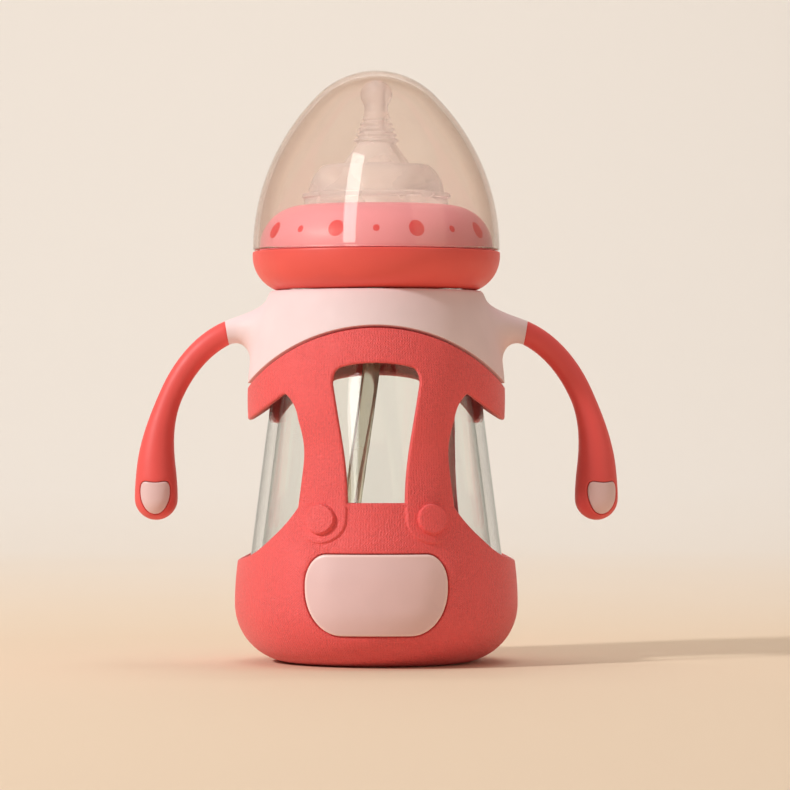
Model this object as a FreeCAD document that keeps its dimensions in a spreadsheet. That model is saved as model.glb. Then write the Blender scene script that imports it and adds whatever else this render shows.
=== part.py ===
"""Baby bottle: glass bottle in a silicone sleeve, two-handled yoke, screw collar, teat, straw and cap.

Millimetres, +Z up, origin on the floor under the bottle's axis, front towards -Y.
"""
import FreeCAD, Part
import math
import os
import re

import Sketcher

V = FreeCAD.Vector

SIZES = {
    # Outer line of the body: belly, waist, chest and the top of the shoulder
    "belly_radius": 42.4,
    "corner_radius": 17.5,
    "waist_rise": 41.5,
    "chest_rise": 20.0,
    "chest_flare": 7.4,
    "shoulder_rise": 31.6,
    "yoke_top_wall": 2.9,
    # Sleeve
    "sleeve_wall": 2.6,
    "foot_recess_radius": 17.0,
    "foot_recess_depth": 0.8,
    "glass_clearance": 0.3,
    "waist_clearance": 0.2371,
    # Arch that parts the sleeve from the yoke, seen from the front
    "arch_radius": 52.0,
    "arch_drop": 10.8,
    "arch_gap": 0.7,
    # Front and back windows: heights, and half their angle in degrees
    "front_band": 10.6,
    "front_window_height": 40.7,
    "front_window_angle": 19.6,
    "back_band": 13.6,
    "back_window_height": 40.4,
    "back_window_angle": 25.5,
    # Side windows: heights, and the angle from the front where the straps end, in degrees
    "side_band": 20.1,
    "side_sill_height": 30.7,
    "side_tip_share": 0.851,
    "strap_angle": 35.0,
    # Strap ends and buttons
    "button_angle": 24.0,
    "button_height": 43.5,
    "button_radius": 4.4,
    "button_proud": 2.1,
    "strap_end_radius": 7.8,
    "strap_end_proud": 0.6,
    # Belly patch
    "patch_half_width": 21.0,
    "patch_low": 9.3,
    "patch_high": 33.9,
    "patch_top_corner": 7.6,
    "patch_low_corner": 11.3,
    "patch_depth": 1.3,
    "patch_proud": 0.3,
    "patch_gap": 0.35,
    # Glass bottle
    "glass_wall": 3.0,
    "glass_base": 5.0,
    "glass_inner_corner": 10.0,
    "glass_shoulder_flare": 4.2,
    "glass_shoulder_rise": 3.0,
    "glass_shoulder_height": 12.0,
    "glass_shoulder_round": 24.0,
    "neck_radius": 27.0,
    "bead_proud": 3.6,
    "bead_height": 2.6,
    "rim_rise": 19.6,
    # Screw thread of neck and collar
    "thread_height": 1.7,
    "thread_root": 2.4,
    "thread_crest": 1.2,
    "thread_pitch": 5.0,
    "thread_turns": 1.25,
    "thread_clearance": 0.4,
    "thread_start": 6.8,
    "thread_embed": 0.4,
    # Handle yoke and arms
    "yoke_wall": 2.4,
    "yoke_plate": 3.2,
    "yoke_clearance": 0.4,
    "seat_gap": 0.3,
    "arm_centre_x": 37.0,
    "arm_span": 29.0,
    "arm_sweep": 42.7,
    "arm_top_drop": 9.9,
    "arm_root_start": 24.0,
    "arm_root_radius": 6.6,
    "arm_inner_radius": 8.25,
    "arm_flare_radius": 5.0,
    "arm_neck_radius": 3.6,
    "hand_radius": 6.45,
    "hand_length": 9.1,
    "grip_wall": 1.6,
    "grip_fit": 0.15,
    # Palm inlays
    "palm_width": 9.0,
    "palm_top_rise": 4.9,
    "palm_lift": 0.4,
    "palm_corner": 1.2,
    "palm_gap": 0.2,
    "palm_left_turn": 1.0,
    "palm_right_turn": 17.0,
    # Collar and its band
    "band_wall": 5.4,
    "band_height": 11.9,
    "band_foot": 0.9,
    "band_flank": 10.5,
    "band_lip": 2.5,
    "skirt_wall": 2.5,
    "collar_overhang": 3.4,
    "collar_rise": 13.7,
    "collar_round": 12.9,
    "collar_wall": 1.8,
    "collar_step": 0.2,
    "collar_fit": 0.1,
    # Dust cap
    "cap_inset": 0.1,
    "cap_height": 54.0,
    "cap_side_round": 65.9,
    "cap_wall": 1.5,
    # Nipple
    "nipple_wall": 1.8,
    "flange_gap": 3.1,
    "flange_grip": 4.0,
    "flange_height": 1.7,
    "nipple_fit": 0.4,
    "nipple_lip_height": 3.6,
    "breast_step": 1.2,
    "breast_taper": 5.9,
    "breast_height": 8.0,
    "breast_round": 12.0,
    "cone_radius": 10.4,
    "cone_top_radius": 5.7,
    "cone_height": 7.0,
    "ring_radius": 6.9,
    "rib_radius": 5.2,
    "rib_pitch": 2.6,
    "rib_crest": 0.8,
    "rib_root": 0.13,
    "rib_step": 0.6,
    "teat_neck_radius": 3.6,
    "teat_neck_rise": 4.6,
    "bulb_radius": 4.8,
    "teat_height": 38.2,
    "teat_bore": 2.1,
    "teat_hole": 0.6,
    # Straw plate, valve, hose and weight
    "disc_thickness": 1.4,
    "disc_gap": 0.3,
    "disc_rim_depth": 4.0,
    "disc_rim_wall": 1.6,
    "disc_fit": 0.5,
    "stub_radius": 1.45,
    "stub_bore": 0.8,
    "stub_length": 12.0,
    "spout_radius": 3.4,
    "spout_height": 8.0,
    "valve_offset": 14.0,
    "valve_stem": 1.6,
    "valve_head": 3.0,
    "valve_head_height": 1.2,
    "valve_bill": 6.0,
    "valve_lip": 2.4,
    "valve_tip": 0.5,
    "hose_radius": 2.6,
    "hose_bore": 1.5,
    "hose_seat": 3.5,
    "hose_sway": 8.8,
    "hose_entry": 5.6,
    "weight_radius": 8.5,
    "weight_wall": 1.2,
    "weight_lift": 0.6,
    "weight_inlet": 1.5,
    "weight_ring_radius": 6.3,
    "weight_ring_bore": 3.2,
    "weight_ring_height": 6.4,
    "weight_fit": 0.05,
}

doc = FreeCAD.newDocument("baby_bottle")
dims = doc.addObject("Spreadsheet::Sheet", "dims")
for row, (alias, value) in enumerate(SIZES.items(), start=1):
    dims.set(f"A{row}", alias)
    dims.set(f"B{row}", str(value))
    dims.setAlias(f"B{row}", alias)
doc.recompute()


def bound(text):
    """The expression with each size's name turned into its cell."""
    def cell(match):
        word = match.group()
        return f"dims.{word}" if word in SIZES else word

    return re.sub(r"[a-z_]+", cell, text)


def size(text):
    """The present value of an expression of sizes."""
    return float(dims.evalExpression(bound(text)))


# Levels and radii that several pieces share, as expressions of the sizes
BELLY_Z = "corner_radius"
WAIST_Z = f"({BELLY_Z} + waist_rise)"
CHEST_Z = f"({WAIST_Z} + chest_rise)"
YOKE_TOP_Z = f"({CHEST_Z} + shoulder_rise)"
ARCH_TOP_Z = f"({YOKE_TOP_Z} - arch_drop)"
ARCH_CENTRE_Z = f"({ARCH_TOP_Z} - arch_radius)"
GLASS_BELLY_R = "(belly_radius - sleeve_wall - glass_clearance)"
GLASS_FLOOR_Z = "(sleeve_wall + glass_clearance)"
GLASS_SHOULDER_Z = f"({CHEST_Z} + glass_shoulder_rise)"
GLASS_SHOULDER_R = "(neck_radius + glass_shoulder_flare)"
GLASS_TAPER = f"(({GLASS_BELLY_R} - {GLASS_SHOULDER_R}) / ({GLASS_SHOULDER_Z} - {BELLY_Z}))"
# The waist stands out by a seventh of the glass's taper, because its curve dips towards the glass below it
WAIST_R = f"({GLASS_BELLY_R} - {GLASS_TAPER} * waist_rise * 6 / 7 + waist_clearance + sleeve_wall)"
CHEST_R = f"({GLASS_SHOULDER_R} + chest_flare)"
NECK_Z = f"({GLASS_SHOULDER_Z} + glass_shoulder_height)"
BEAD_TOP_Z = f"({YOKE_TOP_Z} - yoke_plate - seat_gap)"
RIM_Z = f"({YOKE_TOP_Z} + rim_rise)"
CREST_R = "(neck_radius + thread_height)"
YOKE_BORE_R = f"({CREST_R} + yoke_clearance)"
YOKE_TOP_R = f"({YOKE_BORE_R} + yoke_top_wall)"
BAND_Z = f"({YOKE_TOP_Z} + seat_gap)"
BAND_TOP_Z = f"({BAND_Z} + band_height)"
COLLAR_TOP_Z = f"({BAND_TOP_Z} + collar_rise)"
COLLAR_BORE_R = f"({CREST_R} + thread_clearance)"
SKIRT_R = f"({COLLAR_BORE_R} + skirt_wall)"
COLLAR_R = f"({SKIRT_R} + collar_overhang)"
BAND_INNER_R = f"({SKIRT_R} + collar_fit)"
BAND_R = f"({BAND_INNER_R} + band_wall)"
CAP_R = f"({BAND_R} - cap_inset)"
FLANGE_R = f"({COLLAR_BORE_R} - flange_gap)"
COLLAR_HOLE_R = f"({FLANGE_R} - flange_grip)"
DISC_Z = f"({RIM_Z} + disc_gap)"
FLANGE_Z = f"({DISC_Z} + disc_thickness)"
NECK_BORE_R = "(neck_radius - glass_wall)"
ARM_TOP_Z = f"({YOKE_TOP_Z} - arm_top_drop)"
HAND_X = "(arm_centre_x + arm_span)"
HAND_Z = f"({ARM_TOP_Z} - arm_sweep)"
HAND_END_Z = f"({HAND_Z} - hand_length)"


SIDES = (("left", -1), ("right", 1))


def front_plane(body):
    """The body's own XZ plane."""
    return [f for f in body.Origin.OriginFeatures if f.Role == "XZ_Plane"][0]


def arc_between(start, end, radius, left):
    """Centre of the short arc from start to end, on the left or right of the way it goes."""
    chord = end - start
    reach = math.sqrt(max(radius ** 2 - chord.Length ** 2 / 4, 0))
    normal = V(-chord.y, chord.x, 0).normalize()
    return (start + end) * 0.5 + normal * (reach if left else -reach)


def outline(body, name, corners):
    """A closed sketch in the XZ plane: each corner is (x, y, bend to the next).

    A bend is None for a straight line, ("left", radius) or ("right", radius) for an arc whose
    centre lies on that side of the way it goes.
    """
    sketch = body.newObject("Sketcher::SketchObject", name)
    sketch.AttachmentSupport = [(front_plane(body), "")]
    sketch.MapMode = "FlatFace"
    points = [V(size(x), size(y), 0) for x, y, _ in corners]
    starts = []
    ends = []
    for i, (_, _, bend) in enumerate(corners):
        start = points[i]
        end = points[(i + 1) % len(points)]
        if bend is None:
            sketch.addGeometry(Part.LineSegment(start, end), False)
            starts.append(1)
            ends.append(2)
            continue
        left = bend[0] == "left"
        radius = size(bend[1])
        centre = arc_between(start, end, radius, left)
        first, last = (start, end) if left else (end, start)
        angles = [math.atan2(p.y - centre.y, p.x - centre.x) for p in (first, last)]
        circle = Part.Circle(centre, V(0, 0, 1), radius)
        sketch.addGeometry(Part.ArcOfCircle(circle, angles[0], angles[1]), False)
        starts.append(1 if left else 2)
        ends.append(2 if left else 1)
    for i, (x, y, bend) in enumerate(corners):
        before = i - 1 if i else len(corners) - 1
        sketch.addConstraint(Sketcher.Constraint("Coincident", before, ends[before], i, starts[i]))
        place = (("DistanceX", -2, x, points[i].x), ("DistanceY", -1, y, points[i].y))
        for kind, axis, text, at in place:
            if text == "0":
                sketch.addConstraint(Sketcher.Constraint("PointOnObject", i, starts[i], axis))
            else:
                k = sketch.addConstraint(Sketcher.Constraint(kind, -1, 1, i, starts[i], at))
                sketch.setExpression(f"Constraints[{k}]", bound(text))
        if bend is not None:
            k = sketch.addConstraint(Sketcher.Constraint("Radius", i, size(bend[1])))
            sketch.setExpression(f"Constraints[{k}]", bound(bend[1]))
    return sketch


def turned(name, corners):
    """A body of revolution about Z from a profile in the XZ plane."""
    body = doc.addObject("PartDesign::Body", name)
    sketch = outline(body, f"{name}_profile", corners)
    turn = body.newObject("PartDesign::Revolution", f"{name}_turn")
    turn.Profile = sketch
    turn.ReferenceAxis = (sketch, ["V_Axis"])
    turn.Angle = 360
    return body


def thread(body, name, root_radius, crest_radius, start_z):
    """Winds a trapezium thread onto a body, from a root a little inside its wall to its crest."""
    sketch = outline(body, f"{name}_profile", [
        (root_radius, f"{start_z} - thread_root / 2", None),
        (crest_radius, f"{start_z} - thread_crest / 2", None),
        (crest_radius, f"{start_z} + thread_crest / 2", None),
        (root_radius, f"{start_z} + thread_root / 2", None),
    ])
    helix = body.newObject("PartDesign::AdditiveHelix", name)
    helix.Profile = sketch
    helix.ReferenceAxis = (sketch, ["V_Axis"])
    helix.Mode = 0
    helix.Angle = 0
    helix.setExpression("Pitch", bound("thread_pitch"))
    helix.setExpression("Height", bound("thread_pitch * thread_turns"))
    return helix


def padded(name, corners, length):
    """A body with an outline in the XZ plane, padded forwards from it."""
    body = doc.addObject("PartDesign::Body", name)
    sketch = outline(body, f"{name}_outline", corners)
    pad = body.newObject("PartDesign::Pad", f"{name}_pad")
    pad.Profile = sketch
    pad.setExpression("Length", bound(length))
    return body


def primitive(kind, name, **sizes):
    """A Part primitive whose properties, and place by the keys x, y and z, are expressions."""
    shape = doc.addObject(f"Part::{kind}", name)
    for key, text in sizes.items():
        path = f"Placement.Base.{key}" if key in ("x", "y", "z") else key
        shape.setExpression(path, bound(text))
    return shape


def joined(kind, name, first, second):
    """A Part::Cut or Part::Common of two objects."""
    result = doc.addObject(f"Part::{kind}", name)
    result.Base = first
    result.Tool = second
    return result


def fused(name, shapes):
    result = doc.addObject("Part::MultiFuse", name)
    result.Shapes = shapes
    return result


def s_bend(low_r, high_r, rise):
    """Radius of the two equal arcs of an S between two upright tangents."""
    return f"((({low_r} - {high_r})^2 + ({rise})^2) / (4 * abs({low_r} - {high_r})))"


def body_solid(name, offset):
    """The body's outer form, solid, moved outwards by an offset: belly, waist, chest, shoulder."""
    belly_bend = s_bend("belly_radius", WAIST_R, "waist_rise")
    chest_bend = s_bend(CHEST_R, WAIST_R, "chest_rise")
    lean = f"({CHEST_R} - {YOKE_TOP_R})"
    shoulder_bend = f"(({lean}^2 + shoulder_rise^2) / (2 * {lean}))"
    belly_share = f"(({belly_bend} + {offset}) / (2 * {belly_bend}))"
    chest_share = f"(({chest_bend} + {offset}) / (2 * {chest_bend}))"
    low_mid_r = f"(belly_radius - {belly_share} * (belly_radius - {WAIST_R}) + {offset})"
    low_mid_z = f"({BELLY_Z} + {belly_share} * waist_rise)"
    high_mid_r = f"({CHEST_R} - {chest_share} * ({CHEST_R} - {WAIST_R}) + {offset})"
    high_mid_z = f"({CHEST_Z} - {chest_share} * chest_rise)"
    top_reach = f"sqrt(({shoulder_bend} + {offset})^2 - shoulder_rise^2)"
    top_r = f"({CHEST_R} - {shoulder_bend} + {top_reach})"
    bottom_z = f"0 - ({offset})" if offset != "0" else "0"
    return turned(name, [
        ("0", bottom_z, None),
        ("belly_radius - corner_radius", bottom_z, ("left", f"corner_radius + {offset}")),
        (f"belly_radius + {offset}", BELLY_Z, ("left", f"{belly_bend} + {offset}")),
        (low_mid_r, low_mid_z, ("right", f"{belly_bend} - ({offset})")),
        (f"{WAIST_R} + {offset}", WAIST_Z, ("right", f"{chest_bend} - ({offset})")),
        (high_mid_r, high_mid_z, ("left", f"{chest_bend} + {offset}")),
        (f"{CHEST_R} + {offset}", CHEST_Z, ("left", f"{shoulder_bend} + {offset}")),
        (top_r, YOKE_TOP_Z, None),
        ("0", YOKE_TOP_Z, None),
    ])


def around(angle, height):
    """A point of an unrolled outline: degrees from the front towards +X, and a height."""
    return FreeCAD.Base.Vector2d(math.radians(angle - 90), height)


def smooth(poles):
    """A smooth curve drawn towards its poles, through the first and the last."""
    curve = Part.Geom2d.BSplineCurve2d()
    curve.buildFromPoles([around(*p) for p in poles])
    return curve


def straight(start, end):
    return Part.Geom2d.Line2dSegment(around(*start), around(*end))


def radial_cutter(curves, inner, outer):
    """A solid between two cylinders whose walls stand square to them along an unrolled outline."""
    wires = []
    for radius in (inner, outer):
        cylinder = Part.Cylinder()
        cylinder.Radius = radius
        wires.append(Part.Wire([curve.toShape(cylinder) for curve in curves]))
    return Part.makeLoft(wires, True, True)


# Poles of the right half of the front and back windows: shares of half their angle and of their height
FRONT_LID = [(1.0, 0.848), (0.999, 0.952), (0.753, 0.976), (0.307, 1.0)]
FRONT_SIDE = [(1.0, 0.848), (0.93, 0.724), (0.788, 0.434), (0.674, 0.204), (0.648, 0.0)]
# Poles of the side window's front half: shares of its half angle and of its height
SIDE_BROW = [(0.727, 0.977), (0.826, 1.0145), (0.832, 1.0095), (0.9505, 0.9385), (0.964, 0.853)]
SIDE_STRAP = [(0.964, 0.853), (1.029, 0.716), (1.002, 0.546), (0.975, 0.416), (0.966, 0.334)]
SIDE_BASE = [(0.966, 0.334), (0.871, 0.2365), (0.694, 0.133), (0.5235, 0.045), (0.182, 0.0)]


def tall_window(face):
    """Outline of the front or back window, about the front."""
    top = size(f"{ARCH_TOP_Z} - {face}_band")
    tall = size(f"{face}_window_height")
    half = size(f"{face}_window_angle")
    lid = [(half * a, top - tall * (1 - h)) for a, h in FRONT_LID]
    edge = [(half * a, top - tall * (1 - h)) for a, h in FRONT_SIDE]
    other_lid = [(-a, z) for a, z in lid]
    other_edge = [(-a, z) for a, z in edge]
    return [
        smooth(lid + other_lid[::-1]),
        smooth(other_edge),
        straight(other_edge[-1], edge[-1]),
        smooth(edge[::-1]),
    ]


def side_window():
    """Outline of the right window."""
    middle = 90
    reach = middle - size("strap_angle")
    sill = size("side_sill_height")
    rise = size(f"{ARCH_TOP_Z} - side_band") - sill
    tip = sill + rise * size("side_tip_share")

    def placed(poles):
        return [(middle - reach * a, sill + rise * h) for a, h in poles]

    def mirrored(poles):
        return [(2 * middle - a, z) for a, z in poles[::-1]]

    brow = placed(SIDE_BROW)
    strap = placed(SIDE_STRAP)
    base = placed(SIDE_BASE)
    # A parabola that dips to the tip between the brows
    third = (middle - brow[0][0]) / 3
    dip = tip - (brow[0][1] - tip) / 3
    return [
        smooth(strap),
        smooth(base + mirrored(base)),
        smooth(mirrored(strap)),
        smooth(mirrored(brow)),
        smooth([mirrored(brow)[-1], (middle + third, dip), (middle - third, dip), brow[0]]),
        smooth(brow),
    ]


def window_cutters():
    """Front, back, right and left windows of the sleeve as one cutter."""
    inner = size(f"{GLASS_SHOULDER_R} - 2 * glass_wall")
    outer = size("2 * belly_radius")
    cutters = []
    right = side_window()
    for curves, turn in ((tall_window("front"), 0), (tall_window("back"), 180), (right, 0), (right, 180)):
        cutters.append(radial_cutter(curves, inner, outer).rotated(V(0, 0, 0), V(0, 0, 1), turn))
    return Part.makeCompound(cutters)


def above_arch():
    """Everything over the arch, to be taken off the sleeve."""
    block = primitive(
        "Box", "above_block", Length="4 * belly_radius", Width="4 * belly_radius", Height=YOKE_TOP_Z,
        x="0 - 2 * belly_radius", y="0 - 2 * belly_radius", z=ARCH_CENTRE_Z,
    )
    return joined("Cut", "above_arch", block, arch_cylinder("sleeve_arch", "arch_radius - arch_gap / 2"))


def arch_cylinder(name, radius):
    """A cylinder lying along Y, whose top is the arch."""
    arch = primitive("Cylinder", name, Radius=radius, Height="4 * belly_radius", z=ARCH_CENTRE_Z)
    arch.Placement.Rotation = FreeCAD.Rotation(V(1, 0, 0), 90)
    arch.setExpression("Placement.Base.y", bound("2 * belly_radius"))
    return arch


def patch_corners(inset):
    """Outline of the belly patch, drawn in by an inset."""
    half = f"(patch_half_width - ({inset}))"
    low = f"(patch_low + ({inset}))"
    high = f"(patch_high - ({inset}))"
    return [
        (f"{half} - patch_top_corner", high, None),
        (f"0 - {half} + patch_top_corner", high, ("left", "patch_top_corner")),
        (f"0 - {half}", f"{high} - patch_top_corner", None),
        (f"0 - {half}", f"{low} + patch_low_corner", ("left", "patch_low_corner")),
        (f"0 - {half} + patch_low_corner", low, None),
        (f"{half} - patch_low_corner", low, ("left", "patch_low_corner")),
        (half, f"{low} + patch_low_corner", None),
        (half, f"{high} - patch_top_corner", ("left", "patch_top_corner")),
    ]


def radial_stud(name, side, radius, length):
    """A cylinder standing out from the axis at a strap's button, on the left (-1) or right (1)."""
    stud = primitive("Cylinder", name, Radius=radius, Height=length, z="button_height")
    turn = FreeCAD.Rotation(V(0, 0, 1), side * size("button_angle"))
    stud.Placement.Rotation = turn.multiply(FreeCAD.Rotation(V(1, 0, 0), 90))
    return stud


def make_sleeve():
    form = body_solid("sleeve_form", "0")
    shell = joined("Cut", "sleeve_shell", form, body_solid("sleeve_room", "0 - sleeve_wall"))
    strap_form = body_solid("strap_form", "strap_end_proud")
    button_form = body_solid("button_form", "button_proud")
    reliefs = (
        ("strap_end", strap_form, "strap_end_radius"),
        ("button", button_form, "button_radius"),
    )
    raised = [shell]
    for word, side in SIDES:
        for part, outer, radius in reliefs:
            stud = radial_stud(f"{part}_{word}_stud", side, radius, "2 * belly_radius")
            cap = joined("Common", f"{part}_{word}_cap", outer, stud)
            room = body_solid(f"{part}_{word}_room", "0 - sleeve_wall")
            raised.append(joined("Cut", f"{part}_{word}", cap, room))
    relief = fused("sleeve_relief", raised)
    windows = doc.addObject("Part::Feature", "windows")
    windows.Shape = window_cutters()
    cut = joined("Cut", "sleeve_windows", relief, windows)
    cut = joined("Cut", "sleeve_arched", cut, above_arch())
    room = joined(
        "Cut", "patch_room", padded("patch_window", patch_corners("0"), "2 * belly_radius"),
        body_solid("patch_bed", "0 - patch_depth - patch_gap / 2"),
    )
    cut = joined("Cut", "sleeve_pocketed", cut, room)
    recess = primitive("Cylinder", "foot_recess", Radius="foot_recess_radius", Height="foot_recess_depth")
    return joined("Cut", "sleeve", cut, recess)


def make_belly_patch():
    front = body_solid("patch_front", "patch_proud")
    skin = joined("Cut", "patch_skin", front, body_solid("patch_back", "0 - patch_depth"))
    form = padded("patch_form", patch_corners("patch_gap"), "2 * belly_radius")
    return joined("Common", "belly_patch", skin, form)


def make_glass():
    """Thick-walled bottle: flat base, round corner, cone, shoulder, bead and threaded neck."""
    corner = f"({BELLY_Z} - {GLASS_FLOOR_Z})"
    inner_floor = f"({GLASS_FLOOR_Z} + glass_base)"
    inner_r = f"({GLASS_BELLY_R} - glass_wall)"
    bead_low = f"({BEAD_TOP_Z} - bead_height)"
    body = turned("bottle_glass", [
        ("0", GLASS_FLOOR_Z, None),
        (f"{GLASS_BELLY_R} - {corner}", GLASS_FLOOR_Z, ("left", corner)),
        (GLASS_BELLY_R, BELLY_Z, None),
        (GLASS_SHOULDER_R, GLASS_SHOULDER_Z, ("left", "glass_shoulder_round")),
        ("neck_radius", NECK_Z, None),
        ("neck_radius", bead_low, None),
        ("neck_radius + bead_proud", bead_low, None),
        ("neck_radius + bead_proud", BEAD_TOP_Z, None),
        ("neck_radius", BEAD_TOP_Z, None),
        ("neck_radius", RIM_Z, None),
        (NECK_BORE_R, RIM_Z, None),
        (NECK_BORE_R, NECK_Z, ("right", "glass_shoulder_round")),
        (f"{GLASS_SHOULDER_R} - glass_wall", GLASS_SHOULDER_Z, None),
        (inner_r, f"{inner_floor} + glass_inner_corner", ("right", "glass_inner_corner")),
        (f"{inner_r} - glass_inner_corner", inner_floor, None),
        ("0", inner_floor, None),
    ])
    thread(body, "neck_thread", "neck_radius - thread_embed", CREST_R, f"{YOKE_TOP_Z} + thread_start")
    return body


def arm_station(angle):
    """Centre and heading of the arm's line, a quarter of an ellipse, at an angle from its foot."""
    x = f"(arm_centre_x + arm_span * cos({angle} deg))"
    z = f"({HAND_Z} + arm_sweep * sin({angle} deg))"
    heading = f"atan2(arm_span * sin({angle} deg); 0 - arm_sweep * cos({angle} deg))"
    return x, z, heading


def ring(name, side, x, z, heading, radius):
    """A circle across an arm."""
    circle = primitive("Circle", name, Radius=radius, z=z)
    circle.Placement.Rotation = FreeCAD.Rotation(V(0, 1, 0), 90)
    circle.setExpression("Placement.Base.x", bound(f"{side} * {x}"))
    circle.setExpression("Placement.Rotation.Angle", bound(f"{side} * ({heading})"))
    return circle


def loft(name, rings):
    result = doc.addObject("Part::Loft", name)
    result.Sections = rings
    result.Solid = True
    result.Ruled = False
    return result


# Angles along an arm's quarter ellipse, from its foot: the root's flare, then the parting line and on
ARM_FLARE = 82
ARM_STATIONS = (74, 60, 46, 32, 18, 6)
ARM_PARTING = ARM_STATIONS[0]
# How late the arm swells from its neck to the hand: 1 is evenly
ARM_SWELL = 4


def arm(name, side, inset):
    """An arm from its parting line to its round end, drawn in by an inset."""
    rings = []
    for i, angle in enumerate(ARM_STATIONS):
        x, z, heading = arm_station(angle)
        share = (ARM_PARTING - angle) / ARM_PARTING
        swell = f"arm_neck_radius + (hand_radius - arm_neck_radius) * {share ** ARM_SWELL:.4f}"
        rings.append(ring(f"{name}_ring_{i}", side, x, z, heading, f"{swell} - ({inset})"))
    rings.append(ring(f"{name}_wrist", side, HAND_X, HAND_END_Z, "180 deg", f"hand_radius - ({inset})"))
    end = primitive(
        "Sphere", f"{name}_end", Radius=f"hand_radius - ({inset})", x=f"{side} * {HAND_X}", z=HAND_END_Z,
    )
    end.Angle2 = 0
    return fused(name, [loft(f"{name}_loft", rings), end])


def arm_root(name, side):
    """The flared root of an arm, from inside the yoke's wall to the parting line."""
    x, z, heading = arm_station(ARM_PARTING)
    flare_x, flare_z, flare_heading = arm_station(ARM_FLARE)
    rings = [
        ring(f"{name}_inner", side, "arm_root_start", ARM_TOP_Z, "90 deg", "arm_inner_radius"),
        ring(f"{name}_wall", side, "arm_centre_x", ARM_TOP_Z, "90 deg", "arm_root_radius"),
        ring(f"{name}_flare", side, flare_x, flare_z, flare_heading, "arm_flare_radius"),
        ring(f"{name}_end", side, x, z, heading, "arm_neck_radius"),
    ]
    return loft(name, rings)


def make_yoke():
    pieces = [body_solid("yoke_form", "0")]
    for word, side in SIDES:
        pieces.append(arm_root(f"root_{word}", side))
    solid = fused("yoke_solid", pieces)
    room = joined(
        "Common", "yoke_room", body_solid("yoke_inside", "0 - yoke_wall"),
        primitive("Cylinder", "under_plate", Radius="2 * belly_radius", Height=f"{YOKE_TOP_Z} - yoke_plate"),
    )
    cut = joined("Cut", "yoke_hollow", solid, room)
    bore = primitive("Cylinder", "yoke_bore", Radius=YOKE_BORE_R, Height=f"2 * {YOKE_TOP_Z}")
    cut = joined("Cut", "yoke_bored", cut, bore)
    cut = joined("Cut", "yoke_arched", cut, arch_cylinder("yoke_arch", "arch_radius + arch_gap / 2"))
    waist = f"{CHEST_Z} - chest_rise / 2"
    below = primitive("Cylinder", "below_yoke", Radius="2 * belly_radius", Height=waist)
    ring_part = joined("Cut", "yoke_ring", cut, below)
    cores = [arm(f"core_{word}", side, "grip_wall + grip_fit") for word, side in SIDES]
    return fused("handle_yoke", [ring_part] + cores)


def palm_corners(inset):
    half = f"(palm_width / 2 - ({inset}))"
    high = f"(palm_top_rise - ({inset}))"
    return [
        (f"{half} - palm_corner", high, None),
        (f"0 - {half} + palm_corner", high, ("left", "palm_corner")),
        (f"0 - {half}", f"{high} - palm_corner", None),
        (f"0 - {half}", "0", ("left", half)),
        ("0", f"0 - {half}", ("left", half)),
        (half, "0", None),
        (half, f"{high} - palm_corner", ("left", "palm_corner")),
    ]


def palm_prism(name, side, word, inset):
    """The palm's outline through the front of a grip, turned about the arm."""
    prism = padded(name, palm_corners(inset), "3 * hand_radius")
    prism.setExpression("Placement.Base.x", bound(f"{side} * {HAND_X}"))
    prism.setExpression("Placement.Base.z", bound(f"{HAND_END_Z} + palm_lift"))
    prism.Placement.Rotation = FreeCAD.Rotation(V(0, 0, 1), 1)
    prism.setExpression("Placement.Rotation.Angle", bound(f"{side} * palm_{word}_turn"))
    return prism


def make_grip_and_palm(word, side):
    solid = arm(f"grip_{word}_solid", side, "0")
    room = arm(f"grip_{word}_room", side, "grip_wall")
    shell = joined("Cut", f"grip_{word}_shell", solid, room)
    grip = joined("Cut", f"grip_{word}", shell, palm_prism(f"palm_{word}_window", side, word, "0"))
    solid = arm(f"palm_{word}_solid", side, "0")
    room = arm(f"palm_{word}_room", side, "grip_wall")
    skin = joined("Cut", f"palm_{word}_skin", solid, room)
    form = palm_prism(f"palm_{word}_form", side, word, "palm_gap")
    palm = joined("Common", f"palm_{word}", skin, form)
    return grip, palm


def make_collar():
    """Screw ring: skirt inside the band, round shoulder, top plate with the teat's hole."""
    skirt_low = f"({BAND_Z} + band_lip + collar_fit)"
    step_z = f"({BAND_TOP_Z} + collar_step)"
    under = f"({COLLAR_TOP_Z} - collar_wall)"
    centre_r = f"({COLLAR_R} - collar_round)"
    centre_z = f"({COLLAR_TOP_Z} - collar_round)"
    inner_round = "(collar_round - collar_wall)"
    bend_z = f"({centre_z} + sqrt({inner_round}^2 - ({COLLAR_BORE_R} - {centre_r})^2))"
    body = turned("screw_collar", [
        (COLLAR_BORE_R, skirt_low, None),
        (SKIRT_R, skirt_low, None),
        (SKIRT_R, step_z, None),
        (COLLAR_R, step_z, None),
        (COLLAR_R, centre_z, ("left", "collar_round")),
        (centre_r, COLLAR_TOP_Z, None),
        (COLLAR_HOLE_R, COLLAR_TOP_Z, None),
        (COLLAR_HOLE_R, under, None),
        (centre_r, under, ("right", inner_round)),
        (COLLAR_BORE_R, bend_z, None),
    ])
    crest = "(neck_radius + thread_clearance)"
    start = f"{YOKE_TOP_Z} + thread_start - thread_pitch / 2"
    thread(body, "collar_thread", f"{COLLAR_BORE_R} + thread_embed", crest, start)
    return body


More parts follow.
